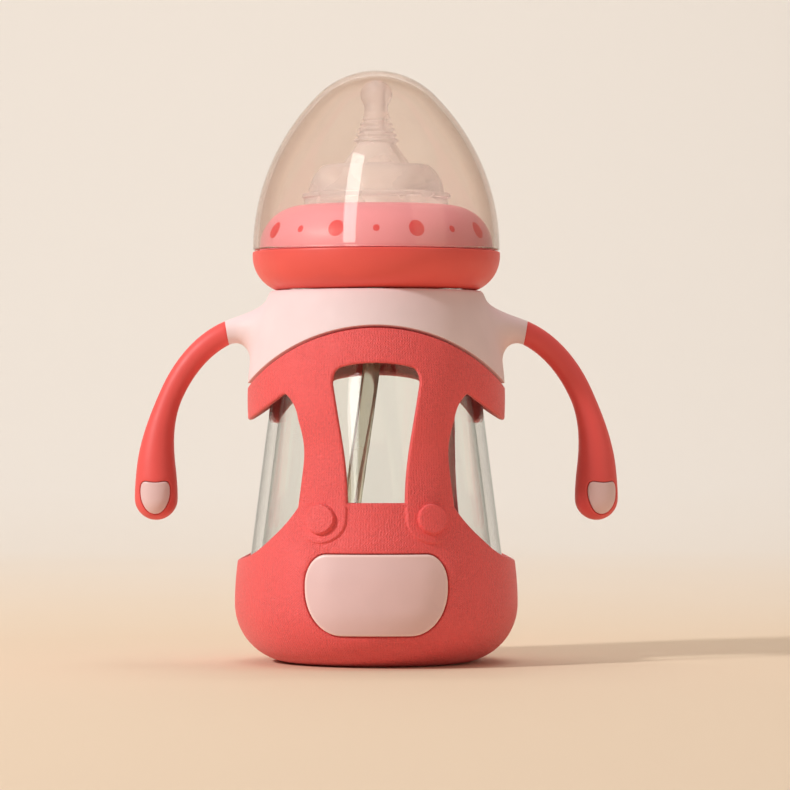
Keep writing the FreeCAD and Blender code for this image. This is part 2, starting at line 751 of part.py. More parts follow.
def make_band():
    """Ring round the collar's skirt with a lip under it and a round flank, upright at its top."""
    foot_r = f"({YOKE_BORE_R} + band_foot)"
    lean = f"({BAND_R} - {foot_r})"
    flank_round = f"(({lean}^2 + band_flank^2) / (2 * {lean}))"
    return turned("collar_band", [
        (YOKE_BORE_R, BAND_Z, None),
        (foot_r, BAND_Z, ("left", flank_round)),
        (BAND_R, f"{BAND_Z} + band_flank", None),
        (BAND_R, BAND_TOP_Z, None),
        (BAND_INNER_R, BAND_TOP_Z, None),
        (BAND_INNER_R, f"{BAND_Z} + band_lip", None),
        (YOKE_BORE_R, f"{BAND_Z} + band_lip", None),
    ])


def make_cap():
    """Ogive dome: a long side arc from the upright rim, closed by a round nose."""
    rim_z = f"({BAND_TOP_Z} + seat_gap)"
    side_r = f"({CAP_R} - cap_side_round)"
    nose = f"((cap_side_round^2 - {side_r}^2 - cap_height^2) / (2 * (cap_side_round - cap_height)))"
    nose_z = f"({rim_z} + cap_height - {nose})"
    reach = f"(cap_side_round - {nose})"

    def meet(inset):
        r = f"({side_r} + (cap_side_round - {inset}) * (0 - {side_r}) / {reach})"
        z = f"({rim_z} + (cap_side_round - {inset}) * ({nose_z} - {rim_z}) / {reach})"
        return r, z

    outer_r, outer_z = meet("0")
    inner_r, inner_z = meet("cap_wall")
    top = f"({rim_z} + cap_height)"
    return turned("dust_cap", [
        (f"{CAP_R} - cap_wall", rim_z, None),
        (CAP_R, rim_z, ("left", "cap_side_round")),
        (outer_r, outer_z, ("left", nose)),
        ("0", top, None),
        ("0", f"{top} - cap_wall", ("right", f"{nose} - cap_wall")),
        (inner_r, inner_z, ("right", "cap_side_round - cap_wall")),
    ])


def make_nipple():
    """Teat: clamped flange, lip over the collar, breast, cone, ribs, neck, bulb and bore."""
    lip_r = f"({COLLAR_HOLE_R} - nipple_fit)"
    lip_z = f"({COLLAR_TOP_Z} + nipple_lip_height)"
    breast_r = f"({lip_r} - breast_step)"
    breast_top_r = f"({breast_r} - breast_taper)"
    breast_z = f"({lip_z} + breast_height)"
    cone_z = f"({breast_z} + cone_height)"
    top_z = f"({COLLAR_TOP_Z} + teat_height)"
    neck_z = f"({top_z} - bulb_radius - teat_neck_rise)"
    under = f"({COLLAR_TOP_Z} - collar_wall - disc_gap)"
    bore_r = f"({lip_r} - nipple_wall)"
    ribs = []
    for i, outer in enumerate(("ring_radius", "rib_radius", "(rib_radius - rib_step)")):
        low = f"({cone_z} + {i} * rib_pitch)"
        groove_r = f"(teat_neck_radius + rib_step * {2 - i} / 2)"
        ribs.append((outer, f"{low} + (rib_pitch - rib_crest - rib_root) / 2", None))
        ribs.append((outer, f"{low} + (rib_pitch + rib_crest - rib_root) / 2", None))
        ribs.append((groove_r, f"{low} + rib_pitch - rib_root", None))
    bulb_low = f"({top_z} - bulb_radius - sqrt(bulb_radius^2 - teat_neck_radius^2))"
    return turned("nipple", [
        (bore_r, FLANGE_Z, None),
        (FLANGE_R, FLANGE_Z, None),
        (FLANGE_R, f"{FLANGE_Z} + flange_height", None),
        (lip_r, under, None),
        (lip_r, lip_z, None),
        (breast_r, lip_z, ("left", "breast_round")),
        (breast_top_r, breast_z, None),
        ("cone_radius", breast_z, None),
        ("cone_top_radius", cone_z, None),
        *ribs,
        ("teat_neck_radius", neck_z, None),
        ("teat_neck_radius", bulb_low, ("left", "bulb_radius")),
        ("bulb_radius", f"{top_z} - bulb_radius", ("left", "bulb_radius")),
        ("teat_hole", f"{top_z} - bulb_radius + sqrt(bulb_radius^2 - teat_hole^2)", None),
        ("teat_hole", f"{top_z} - nipple_wall", None),
        ("teat_bore", f"{top_z} - nipple_wall", None),
        ("teat_bore", f"{cone_z} + rib_pitch", None),
        ("cone_radius - nipple_wall", f"{breast_z} - nipple_wall / 2", None),
        (f"{breast_top_r} - nipple_wall / 2", f"{breast_z} - nipple_wall", None),
        (bore_r, f"{lip_z} - nipple_wall", None),
    ])


def make_disc():
    """Plate on the bottle's rim: locating rim in the neck, spout up, hose stub down, vent hole."""
    rim_r = f"({NECK_BORE_R} - disc_fit)"
    rim_low = f"({DISC_Z} - disc_rim_depth)"
    body = turned("straw_plate", [
        ("stub_bore", f"{DISC_Z} - stub_length", None),
        ("stub_radius", f"{DISC_Z} - stub_length", None),
        ("stub_radius", DISC_Z, None),
        (f"{rim_r} - disc_rim_wall", DISC_Z, None),
        (f"{rim_r} - disc_rim_wall", rim_low, None),
        (rim_r, rim_low, None),
        (rim_r, DISC_Z, None),
        (FLANGE_R, DISC_Z, None),
        (FLANGE_R, FLANGE_Z, None),
        ("spout_radius", FLANGE_Z, None),
        ("spout_radius", f"{FLANGE_Z} + spout_height", None),
        ("stub_bore", f"{FLANGE_Z} + spout_height", None),
    ])
    hole = primitive(
        "Cylinder", "vent_hole", Radius="valve_stem + weight_fit", Height="4 * disc_thickness",
        x="valve_offset", z=f"{DISC_Z} - disc_thickness",
    )
    return joined("Cut", "straw_disc", body, hole)


def make_valve():
    """Duckbill valve: head on the plate, stem in its hole, lip and bill below."""
    body = turned("vent_valve", [
        ("0", f"{DISC_Z} - valve_bill", None),
        ("valve_tip", f"{DISC_Z} - valve_bill", None),
        ("valve_lip", f"{DISC_Z} - valve_head_height - weight_fit", None),
        ("valve_lip", f"{DISC_Z} - weight_fit", None),
        ("valve_stem", f"{DISC_Z} - weight_fit", None),
        ("valve_stem", f"{FLANGE_Z} + weight_fit", None),
        ("valve_head", f"{FLANGE_Z} + weight_fit", None),
        ("valve_head", f"{FLANGE_Z} + weight_fit + valve_head_height", None),
        ("0", f"{FLANGE_Z} + weight_fit + valve_head_height", None),
    ])
    body.setExpression("Placement.Base.x", bound("valve_offset"))
    return body


# The hose's bend: shares of its sway to the left and of its drop from the stub to the ball
HOSE_BEND = [(0.0, 0.0), (0.0, 0.144), (0.08, 0.326), (0.41, 0.527), (0.75, 0.718), (1.0, 0.891), (1.0, 1.0)]
# How much of the shorter run beside a corner its arc takes up
BEND_SHARE = 0.45
WEIGHT_Z = f"({GLASS_FLOOR_Z} + glass_base + weight_lift + weight_radius)"


def hose_points():
    """The corners of the hose's route, in the plane of the handles."""
    top = size(f"{DISC_Z} - hose_seat")
    drop = top - size(f"{WEIGHT_Z} + hose_entry")
    sway = size("hose_sway")
    return [V(-sway * x, 0, top - drop * z) for x, z in HOSE_BEND]


def route_wire(points):
    """Straight runs joined by tangent arcs, each as large as its two runs allow."""
    edges = []
    radii = []
    at = points[0]
    for before, corner, after in zip(points, points[1:], points[2:]):
        back = before - corner
        ahead = after - corner
        turn = math.pi - back.getAngle(ahead)
        trim = BEND_SHARE * min(back.Length, ahead.Length)
        radius = trim / math.tan(turn / 2)
        radii.append(radius)
        first = corner + back.normalize() * trim
        last = corner + ahead.normalize() * trim
        bisector = (back + ahead).normalize()
        middle = corner + bisector * (radius / math.cos(turn / 2) - radius)
        edges.append(Part.LineSegment(at, first).toShape())
        edges.append(Part.Arc(first, middle, last).toShape())
        at = last
    edges.append(Part.LineSegment(at, points[-1]).toShape())
    return Part.Wire(edges), radii


def make_hose():
    points = hose_points()
    wire, radii = route_wire(points)
    tubes = []
    for key in ("hose_radius", "hose_bore"):
        circle = Part.Wire([Part.Circle(points[0], points[1] - points[0], size(key)).toShape()])
        tubes.append(wire.makePipeShell([circle], True, False))
    hose = doc.addObject("Part::Feature", "straw_hose")
    hose.Shape = tubes[0].cut(tubes[1])
    section = math.pi * (size("hose_radius") ** 2 - size("hose_bore") ** 2)
    print("hose points", [(round(p.x, 3), round(p.z, 3)) for p in points])
    print("hose length", round(wire.Length, 2), "bend radii", [round(r, 1) for r in radii])
    print("hose volume over section times length", round(hose.Shape.Volume / (section * wire.Length), 5))
    return hose


def make_weight():
    """Ball on the hose's end: two shells that meet at the middle, with a steel ring inside."""
    inner = "(weight_radius - weight_wall)"
    mouth = "(hose_radius + weight_fit)"
    upper = turned("weight_upper_shell", [
        (inner, "0", None),
        ("weight_radius", "0", ("left", "weight_radius")),
        (mouth, f"sqrt(weight_radius^2 - {mouth}^2)", None),
        (mouth, f"sqrt({inner}^2 - {mouth}^2)", ("right", inner)),
    ])
    lower = turned("weight_lower_shell", [
        ("weight_inlet", "0 - sqrt(weight_radius^2 - weight_inlet^2)", ("left", "weight_radius")),
        ("weight_radius", "0 - weight_fit", None),
        (inner, "0 - weight_fit", ("right", inner)),
        ("weight_inlet", f"0 - sqrt({inner}^2 - weight_inlet^2)", None),
    ])
    ring_body = turned("weight_ring", [
        ("weight_ring_bore", "0 - weight_ring_height / 2", None),
        ("weight_ring_radius", "0 - weight_ring_height / 2", None),
        ("weight_ring_radius", "weight_ring_height / 2", None),
        ("weight_ring_bore", "weight_ring_height / 2", None),
    ])
    for piece in (upper, lower, ring_body):
        piece.setExpression("Placement.Base.x", bound("0 - hose_sway"))
        piece.setExpression("Placement.Base.z", bound(WEIGHT_Z))
    return upper, lower, ring_body


grip_left, palm_left = make_grip_and_palm("left", -1)
grip_right, palm_right = make_grip_and_palm("right", 1)
weight_upper, weight_lower, weight_steel = make_weight()
PARTS = {
    "bottle_glass": make_glass(),
    "sleeve": make_sleeve(),
    "belly_patch": make_belly_patch(),
    "handle_yoke": make_yoke(),
    "grip_left": grip_left,
    "grip_right": grip_right,
    "palm_left": palm_left,
    "palm_right": palm_right,
    "screw_collar": make_collar(),
    "collar_band": make_band(),
    "dust_cap": make_cap(),
    "nipple": make_nipple(),
    "straw_disc": make_disc(),
    "vent_valve": make_valve(),
    "straw_hose": make_hose(),
    "weight_upper_shell": weight_upper,
    "weight_lower_shell": weight_lower,
    "weight_ring": weight_steel,
}
doc.recompute()

for item in doc.Objects:
    if "Invalid" in item.State or "Error" in item.State:
        raise RuntimeError(f"{item.Name} failed: {item.State}")
for name, part in PARTS.items():
    part.Label = name
    shape = part.Shape
    if shape.isNull() or not shape.isValid() or not shape.Solids:
        raise RuntimeError(f"{name} has no valid solid")

os.makedirs("parts", exist_ok=True)
for name, part in PARTS.items():
    shape = part.Shape
    print(f"{name}: {len(shape.Solids)} solid(s), {shape.Volume:.1f} mm3")
    shape.exportStep(f"parts/{name}.step")
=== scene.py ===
"""Looks of the baby bottle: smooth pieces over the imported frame, materials, camera and studio light.

Lengths in the shape functions are millimetres, in the frame's axes: +Z up, front towards -Y.
"""
import math

import bmesh
import bpy
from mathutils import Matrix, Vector, geometry, kdtree


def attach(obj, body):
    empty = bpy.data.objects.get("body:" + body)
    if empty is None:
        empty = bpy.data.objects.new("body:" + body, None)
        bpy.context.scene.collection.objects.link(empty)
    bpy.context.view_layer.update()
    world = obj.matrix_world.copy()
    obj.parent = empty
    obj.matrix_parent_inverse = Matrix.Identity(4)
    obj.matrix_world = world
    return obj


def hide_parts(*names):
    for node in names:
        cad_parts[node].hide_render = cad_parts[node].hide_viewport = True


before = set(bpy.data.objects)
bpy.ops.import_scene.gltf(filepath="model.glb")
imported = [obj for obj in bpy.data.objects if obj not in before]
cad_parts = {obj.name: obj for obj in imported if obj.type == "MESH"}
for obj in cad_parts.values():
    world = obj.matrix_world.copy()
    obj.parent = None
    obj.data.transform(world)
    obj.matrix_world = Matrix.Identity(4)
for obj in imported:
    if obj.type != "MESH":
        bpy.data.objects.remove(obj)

MM = 0.001
# Mesh layer marking where a painted highlight lies along a piece's edge
RIM_HIGHLIGHT_LAYER = "edge"
NOISE_LOW, NOISE_HIGH = 0.3, 0.7
# Sheets: height of a row of triangles and room kept round border points, per step
TRIANGLE_ROW, POINT_ROOM = 0.866, 0.55
LEAST_MITER, FILLET_SHARE = 0.5, 0.48
ON_AXIS, WELD, MERGE = 1e-3, 2e-6, 1e-5
scene = bpy.context.scene
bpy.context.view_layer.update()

# Body form: belly, waist, chest and shoulder arcs
BELLY_R, CORNER_R, BELLY_Z = 42.4, 17.5, 17.5
WAIST_R, WAIST_Z = 37.76, 59.0
CHEST_R, CHEST_Z = 38.6, 79.0
TOP_R, TOP_Z = 32.0, 110.6
FOOT_R = BELLY_R - CORNER_R
BELLY_BEND = ((BELLY_R - WAIST_R) ** 2 + (WAIST_Z - BELLY_Z) ** 2) / (4 * (BELLY_R - WAIST_R))
CHEST_BEND = ((CHEST_R - WAIST_R) ** 2 + (CHEST_Z - WAIST_Z) ** 2) / (4 * (CHEST_R - WAIST_R))
SHOULDER_BEND = ((CHEST_R - TOP_R) ** 2 + (TOP_Z - CHEST_Z) ** 2) / (2 * (CHEST_R - TOP_R))
UNROLL_R = 40.0
# Arcs of the body form above its corner: upper end, middle, radius there, bend, outwards or inwards
BODY_ARCS = (
    ((BELLY_Z + WAIST_Z) / 2, BELLY_Z, BELLY_R, BELLY_BEND, 1),
    (WAIST_Z, WAIST_Z, WAIST_R, BELLY_BEND, -1),
    ((WAIST_Z + CHEST_Z) / 2, WAIST_Z, WAIST_R, CHEST_BEND, -1),
    (CHEST_Z, CHEST_Z, CHEST_R, CHEST_BEND, 1),
    (math.inf, CHEST_Z, CHEST_R, SHOULDER_BEND, 1),
)

# Arch between sleeve and yoke, its gap and edge rounding, and the sleeve's lip behind the yoke
ARCH_Z, ARCH_R, ARCH_GAP, ARCH_EDGE, ARCH_LIP = 47.8, 52.0, 0.9, 0.16, 0.4

# Sleeve
SLEEVE_WALL = 2.6
SLEEVE_EDGE, INNER_EDGE = 0.7, 1.8
SLEEVE_LOW_Z = 6.0
SLEEVE_SEAM = 135.0
RECESS_R, RECESS_Z = 17.0, 0.8
BUTTON_ANGLE, BUTTON_Z, BUTTON_R = 24.0, 43.5, 4.4
TONGUE_R, TONGUE_DROP, TONGUE_RISE = 7.8, 6.9, 0.65
BUTTON_RISE, BUTTON_DOME = 2.1, 0.2
PATCH_HALF, PATCH_LOW, PATCH_HIGH = 21.3, 9.3, 33.9
PATCH_TOP_ROUND, PATCH_LOW_ROUND = (6.6, 9.2), (11.2, 14.2)
PATCH_GAP, PATCH_WALL, POCKET_DEPTH, POCKET_SINK = 0.35, 1.3, 1.5, 0.12
FRONT_REACH = 35.0

# Arms: a quarter ellipse, drawn in a little at its bend, and a straight wrist that ends in a half ball
ARM_X, ARM_Z, ARM_SPAN, ARM_SWEEP = 37.0, 58.0, 29.0, 42.7
ARM_DRAW = 0.68
ARM_PARTING, ARM_LEAN = 74.0, 0.8
ARM_NECK_R, HAND_R, HAND_SWELL = 3.5, 6.45, 32.0
HAND_END_Z = 48.9
LEAN_RUN = 10.0

# Top of the yoke, and the bore of yoke, band and collar over the neck
YOKE_Z, BORE_R = 111.0, 29.1


def smoothstep(low, high, value):
    t = min(max((value - low) / (high - low), 0.0), 1.0)
    return t * t * (3 - 2 * t)


def fall(low, high, value):
    return 1 - smoothstep(low, high, value)


def body_profile(z):
    """Radius and slope of the body form at a height above its corner."""
    for end, middle, radius, bend, bulge in BODY_ARCS:
        if z < end:
            break
    run = math.sqrt(bend ** 2 - (z - middle) ** 2)
    return radius + bulge * (run - bend), -bulge * (z - middle) / run


def round_axis(r, angle, z):
    """A point by its radius, its angle from the front and its height."""
    return Vector((r * math.sin(angle), -r * math.cos(angle), z)) * MM


def on_body(u, v, lift):
    """A point of the unrolled body form: u round from the front, v the height or the arc below it."""
    if v < BELLY_Z:
        bend = (BELLY_Z - v) / CORNER_R
        r = FOOT_R + (CORNER_R + lift) * math.cos(bend)
        z = BELLY_Z - (CORNER_R + lift) * math.sin(bend)
    else:
        r, slope = body_profile(v)
        tilt = math.hypot(1, slope)
        r += lift / tilt
        z = v - lift * slope / tilt
    return round_axis(r, u / UNROLL_R, z)


def body_v(z):
    return z if z >= BELLY_Z else BELLY_Z - CORNER_R * math.asin((BELLY_Z - z) / CORNER_R)


def body_uv(x, z):
    """Unrolled place of a point seen from the front."""
    if z < BELLY_Z:
        r = FOOT_R + math.sqrt(CORNER_R ** 2 - (BELLY_Z - z) ** 2)
    else:
        r = body_profile(z)[0]
    return UNROLL_R * math.asin(x / r), body_v(z)


def arch_v(u, radius):
    """Height of the arch, a cylinder along Y, where it cuts the body form."""
    z = ARCH_Z + radius
    for _ in range(30):
        x = body_profile(z)[0] * math.sin(u / UNROLL_R)
        z = ARCH_Z + math.sqrt(max(radius ** 2 - x * x, 1.0))
    return z


def bspline(poles, count):
    """Points along a clamped uniform cubic from its first to its last pole."""
    degree = min(3, len(poles) - 1)
    spans = len(poles) - degree
    knots = [0] * degree + list(range(spans + 1)) + [spans] * degree
    points = []
    for i in range(count + 1):
        t = min(spans * i / count, spans - 1e-9)
        k = int(t) + degree
        d = [Vector(poles[j + k - degree]) for j in range(degree + 1)]
        for r in range(1, degree + 1):
            for j in range(degree, r - 1, -1):
                low = knots[j + k - degree]
                share = (t - low) / (knots[j + 1 + k - r] - low)
                d[j] = d[j - 1].lerp(d[j], share)
        points.append(tuple(d[degree]))
    return points


def resampled(points, step):
    """A closed line walked at even steps, keeping its sharp corners."""
    out = []
    for a, b in zip(points, points[1:] + points[:1]):
        start, end = Vector(a), Vector(b)
        parts = max(1, round((end - start).length / step))
        out += [tuple(start.lerp(end, k / parts)) for k in range(parts)]
    return out


def grown(loop, distance):
    """A closed line moved outwards by a distance, with the same number of points."""
    count = len(loop)
    area = 0.0
    for (x0, y0), (x1, y1) in zip(loop, loop[1:] + loop[:1]):
        area += x0 * y1 - x1 * y0
    turn = 1 if area > 0 else -1
    out = []
    for i in range(count):
        here = Vector(loop[i])
        back = (here - Vector(loop[i - 1])).normalized()
        ahead = (Vector(loop[(i + 1) % count]) - here).normalized()
        normal = Vector((back.y + ahead.y, -back.x - ahead.x)).normalized() * turn
        miter = max(LEAST_MITER, normal.dot(Vector((ahead.y, -ahead.x)) * turn))
        out.append(tuple(here + normal * (distance / miter)))
    return out


def add_face(bm, corners):
    if len(set(corners)) > 2:
        bm.faces.new(corners)


def grid(bm, rows, closed):
    """Quads between rows of points in space."""
    rings = [[bm.verts.new(p) for p in row] for row in rows]
    for low, high in zip(rings, rings[1:]):
        count = len(low)
        for i in range(count if closed else count - 1):
            j = (i + 1) % count
            add_face(bm, (low[i], low[j], high[j], high[i]))


def fan(bm, row, centre):
    """Triangles from a closed row of points to one in the middle."""
    ring = [bm.verts.new(p) for p in row]
    middle = bm.verts.new(centre)
    for a, b in zip(ring, ring[1:] + ring[:1]):
        add_face(bm, (a, b, middle))


def inside_line(line, u, v):
    hit = False
    for i in range(len(line)):
        (u0, v0), (u1, v1) = line[i - 1], line[i]
        if (v0 > v) != (v1 > v) and u < u0 + (v - v0) / (v1 - v0) * (u1 - u0):
            hit = not hit
    return hit


def nearest(points):
    """A function giving how far the nearest of some points lies."""
    tree = kdtree.KDTree(len(points))
    for i, p in enumerate(points):
        tree.insert((*p, 0), i)
    tree.balance()
    return lambda u, v: tree.find((u, v, 0))[2]


def signed_distance(line):
    """A function giving how far outside a closed line a point lies."""
    away = nearest(resampled(line, step=0.1))
    return lambda u, v: -away(u, v) if inside_line(line, u, v) else away(u, v)


def sheet(bm, surface, border, holes, features, step, lift, inside=None):
    """Fine triangles on a surface, inside a border, round holes, through feature points."""
    points = []
    edges = []
    for loop in [border] + holes:
        start = len(points)
        points += [Vector(p) for p in loop]
        edges += [(start + i, start + (i + 1) % len(loop)) for i in range(len(loop))]
    points += [Vector(p) for p in features]
    away = nearest(points)
    us = [p[0] for p in border]
    vs = [p[1] for p in border]
    rows = int((max(vs) - min(vs)) / (step * TRIANGLE_ROW))
    columns = int((max(us) - min(us)) / step)
    for j in range(1, rows):
        for i in range(columns):
            u = min(us) + step * (i + 0.5 + 0.5 * (j % 2))
            v = min(vs) + step * TRIANGLE_ROW * j
            if inside and not inside(u, v):
                continue
            if away(u, v) > POINT_ROOM * step:
                points.append(Vector((u, v)))
    flat = geometry.delaunay_2d_cdt(points, edges, [], 1, MERGE)
    verts = {}
    for face in flat[2]:
        middle = sum((flat[0][k] for k in face), Vector((0, 0))) / 3
        if any(inside_line(loop, *middle) for loop in holes):
            continue
        corners = []
        for k in face:
            if k not in verts:
                u, v = flat[0][k]
                verts[k] = bm.verts.new(surface(u, v, lift(u, v)))
            corners.append(verts[k])
        add_face(bm, corners)


def edge_rows(edge, bevel, wall, relief, inner=None, tuck=0.0, steps=5):
    """Rounded edge of a shell: rows from its outer to its inner face, over a lip if tucked."""
    inner = inner or bevel
    rows = []
    for k in range(steps + 1):
        t = math.pi / 2 * k / steps
        drop = bevel * (1 - math.cos(t))
        rows.append([(u, v, relief(u, v) - drop) for u, v in edge(bevel * (1 - math.sin(t)))])
    if tuck:
        rows.append([(u, v, inner - wall) for u, v in edge(0.0)])
    for k in range(steps, -1, -1):
        t = math.pi / 2 * k / steps
        inset = inner * (1 - math.sin(t)) - tuck * math.sin(t)
        rows.append([(u, v, inner * (1 - math.cos(t)) - wall) for u, v in edge(inset)])
    return rows


def strip(bm, surface, rows, closed):
    grid(bm, [[surface(*p) for p in row] for row in rows], closed)


def once_round(end, length, columns):
    """Even places on a line of this length, up to its end."""
    return [end - length + length * i / columns for i in range(columns + 1)]


def framed(low, high, step):
    """Closed border between two rows of places, with even steps up both sides."""
    start, end = low[0], low[-1]
    rise = high[0][1] - start[1]
    count = round(rise / step)
    upright = [start[1] + rise * k / count for k in range(1, count)]
    return low + [(end[0], v) for v in upright] + high[::-1] + [(start[0], v) for v in upright[::-1]]


def level(us, r, z):
    """Points round the axis at places of the unrolled form."""
    return [round_axis(r, u / UNROLL_R, z) for u in us]


def ellipse(cu, cv, wide, tall, start, end, count):
    """Points of an ellipse between two angles in degrees."""
    angles = [math.radians(start + (end - start) * i / count) for i in range(count + 1)]
    return [(cu + wide * math.cos(a), cv + tall * math.sin(a)) for a in angles]


def arc(cr, cz, radius, start, end, count):
    """Points of an arc in a turned profile, in degrees from outwards to up."""
    return [(r, z, 0) for r, z in ellipse(cr, cz, radius, radius, start, end, count)]


def rounded(corners, steps=5):
    """A closed profile with each corner (r, z, fillet) rounded off."""
    out = []
    count = len(corners)
    for i, (r, z, fillet) in enumerate(corners):
        here = Vector((r, z))
        if not fillet:
            out.append((r, z))
            continue
        back = Vector(corners[i - 1][:2]) - here
        ahead = Vector(corners[(i + 1) % count][:2]) - here
        half = back.angle(ahead) / 2
        reach = min(fillet / math.tan(half), FILLET_SHARE * back.length, FILLET_SHARE * ahead.length)
        first = here + back.normalized() * reach
        last = here + ahead.normalized() * reach
        for k in range(steps + 1):
            t = k / steps
            out.append(tuple(first * (1 - t) ** 2 + here * 2 * t * (1 - t) + last * t * t))
    return out


def lathe(profile, segments):
    """A mesh turned from a closed profile of (r, z) about the axis."""
    turn = 2 * math.pi / segments
    bm = bmesh.new()
    rings = []
    for r, z in profile:
        if r < ON_AXIS:
            rings.append([bm.verts.new((0, 0, z * MM))] * segments)
        else:
            rings.append([bm.verts.new(round_axis(r, turn * i, z)) for i in range(segments)])
    for low, high in zip(rings, rings[1:] + rings[:1]):
        for i in range(segments):
            j = (i + 1) % segments
            add_face(bm, tuple(dict.fromkeys((low[i], low[j], high[j], high[i]))))
    return bm


def helix(bm, wall_r, crest_r, start_z, steps=96):
    """A right-handed thread sunk a little in a wall, fading out and closed at both ends."""
    pitch, turns, root, crest, sunk = 5.0, 1.25, 2.4, 1.2, 0.3
    run_out, least = 8, 0.05
    root_r = wall_r + math.copysign(sunk, wall_r - crest_r)
    count = round(steps * turns)
    rows = []
    for i in range(count + 1):
        a = 2 * math.pi * turns * i / count
        z = start_z + pitch * turns * i / count
        fade = min(1.0, run_out * i / count, run_out * (count - i) / count)
        tip = root_r + (crest_r - root_r) * max(fade, least)
        shape = ((root_r, -root / 2), (tip, -crest / 2), (tip, crest / 2), (root_r, root / 2))
        rows.append([Vector((r * math.cos(a), r * math.sin(a), z + dz)) * MM for r, dz in shape])
    grid(bm, rows, True)
    for row in (rows[0], rows[-1]):
        add_face(bm, tuple(bm.verts.new(p) for p in row))


def add_object(name, data):
    obj = bpy.data.objects.new(name, data)
    scene.collection.objects.link(obj)
    return obj


def mesh_object(name, bm, material):
    mesh = bpy.data.meshes.new(name)
    bm.to_mesh(mesh)
    bm.free()
    mesh.shade_smooth()
    mesh.materials.append(material)
    return add_object(name, mesh)


def piece(name, bm, body, nodes, material, sharp=38):
    """Makes a mesh a piece that rides on a body and stands for the nodes."""
    bmesh.ops.remove_doubles(bm, verts=bm.verts, dist=WELD)
    bmesh.ops.recalc_face_normals(bm, faces=bm.faces)
    obj = mesh_object(name, bm, material)
    obj.data.set_sharp_from_angle(angle=math.radians(sharp))
    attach(obj, body)
    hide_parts(*nodes)
    return obj


class Nodes:
    """A material's node tree, built by short calls."""

    def __init__(self, name):
        self.material = bpy.data.materials.new(name)
        self.material.use_nodes = True
        self.tree = self.material.node_tree
        self.tree.nodes.clear()
        self.output = self.add("OutputMaterial")

    def add(self, kind, inputs=None, **settings):
        node = self.tree.nodes.new(f"ShaderNode{kind}")
        for key, value in settings.items():
            setattr(node, key, value)
        for key, value in (inputs or {}).items():
            if isinstance(value, bpy.types.NodeSocket):
                self.tree.links.new(value, node.inputs[key])
            else:
                node.inputs[key].default_value = value
        return node

    def math(self, operation, a, b=0.0):
        return self.add("Math", {0: a, 1: b}, operation=operation).outputs[0]

    def place(self):
        return self.add("TexCoord").outputs["Object"]

    def noise(self, scale, detail=2.0, rough=0.5, vector=None):
        inputs = {"Vector": vector or self.place(), "Scale": scale, "Detail": detail, "Roughness": rough}
        return self.add("TexNoise", inputs).outputs["Fac"]

    def ramp(self, factor, stops):
        node = self.add("ValToRGB", {"Fac": factor})
        for element, (at, colour) in zip(node.color_ramp.elements, stops):
            element.position = at
            element.color = (*colour, 1)
        return node.outputs["Color"]

    def span(self, value, low, high, to_low, to_high):
        inputs = {"Value": value, "From Min": low, "From Max": high, "To Min": to_low, "To Max": to_high}
        return self.add("MapRange", inputs).outputs["Result"]

    def spread(self, noise, low, high):
        """A noise's usual range, stretched between two values."""
        return self.span(noise, NOISE_LOW, NOISE_HIGH, low, high)

    def tones(self, noise, low, high):
        return self.ramp(noise, [(NOISE_LOW, low), (NOISE_HIGH, high)])

    def mix(self, factor, tone, colour):
        """A tone that turns into one colour where the factor is 1."""
        node = self.add("Mix", {0: factor}, data_type="RGBA")
        first, second = [s for s in node.inputs if s.type == "RGBA"]
        self.tree.links.new(tone, first)
        second.default_value = (*colour, 1)
        return [s for s in node.outputs if s.type == "RGBA"][0]

    def bump(self, height, strength, distance):
        inputs = {"Height": height, "Strength": strength, "Distance": distance}
        return self.add("Bump", inputs).outputs["Normal"]

    def unrolled(self):
        """Angle round the axis from the front, and height."""
        xyz = self.add("SeparateXYZ", {"Vector": self.place()})
        front = self.math("MULTIPLY", xyz.outputs["Y"], -1.0)
        angle = self.math("ARCTAN2", xyz.outputs["X"], front)
        return angle, xyz.outputs["Z"]

    def surface(self, inputs):
        """Ends the tree in one Principled shader."""
        return self.done(self.add("BsdfPrincipled", inputs).outputs["BSDF"])

    def done(self, shader):
        self.tree.links.new(shader, self.output.inputs["Surface"])
        return self.material


def shade(colour, share):
    return tuple(min(1, c * share) for c in colour)


def moulded(name, colour, rough, variation=0.06, sheen=0.0, rim=None):
    """Moulded plastic or silicone: slight colour drift, fine grain, and a painted highlight in the rim
    colour along edges the mesh marks, if given.
    """
    n = Nodes(name)
    tone = n.tones(n.noise(38, detail=3), shade(colour, 1 - variation), shade(colour, 1 + variation))
    # Painted highlight: the rim colour is laid where the mesh layer marks an edge
    if rim:
        edge = n.add("Attribute", attribute_name=RIM_HIGHLIGHT_LAYER).outputs["Fac"]
        tone = n.mix(edge, tone, rim)
    fine = n.noise(2600, detail=2, rough=0.6)
    gloss = n.noise(240, detail=3)
    return n.surface({
        "Base Color": tone,
        "Roughness": n.spread(gloss, rough * 0.9, min(1, rough * 1.1)),
        "Normal": n.bump(fine, strength=0.25, distance=0.00008),
        "Sheen Weight": sheen, "Sheen Roughness": 0.5,
    })


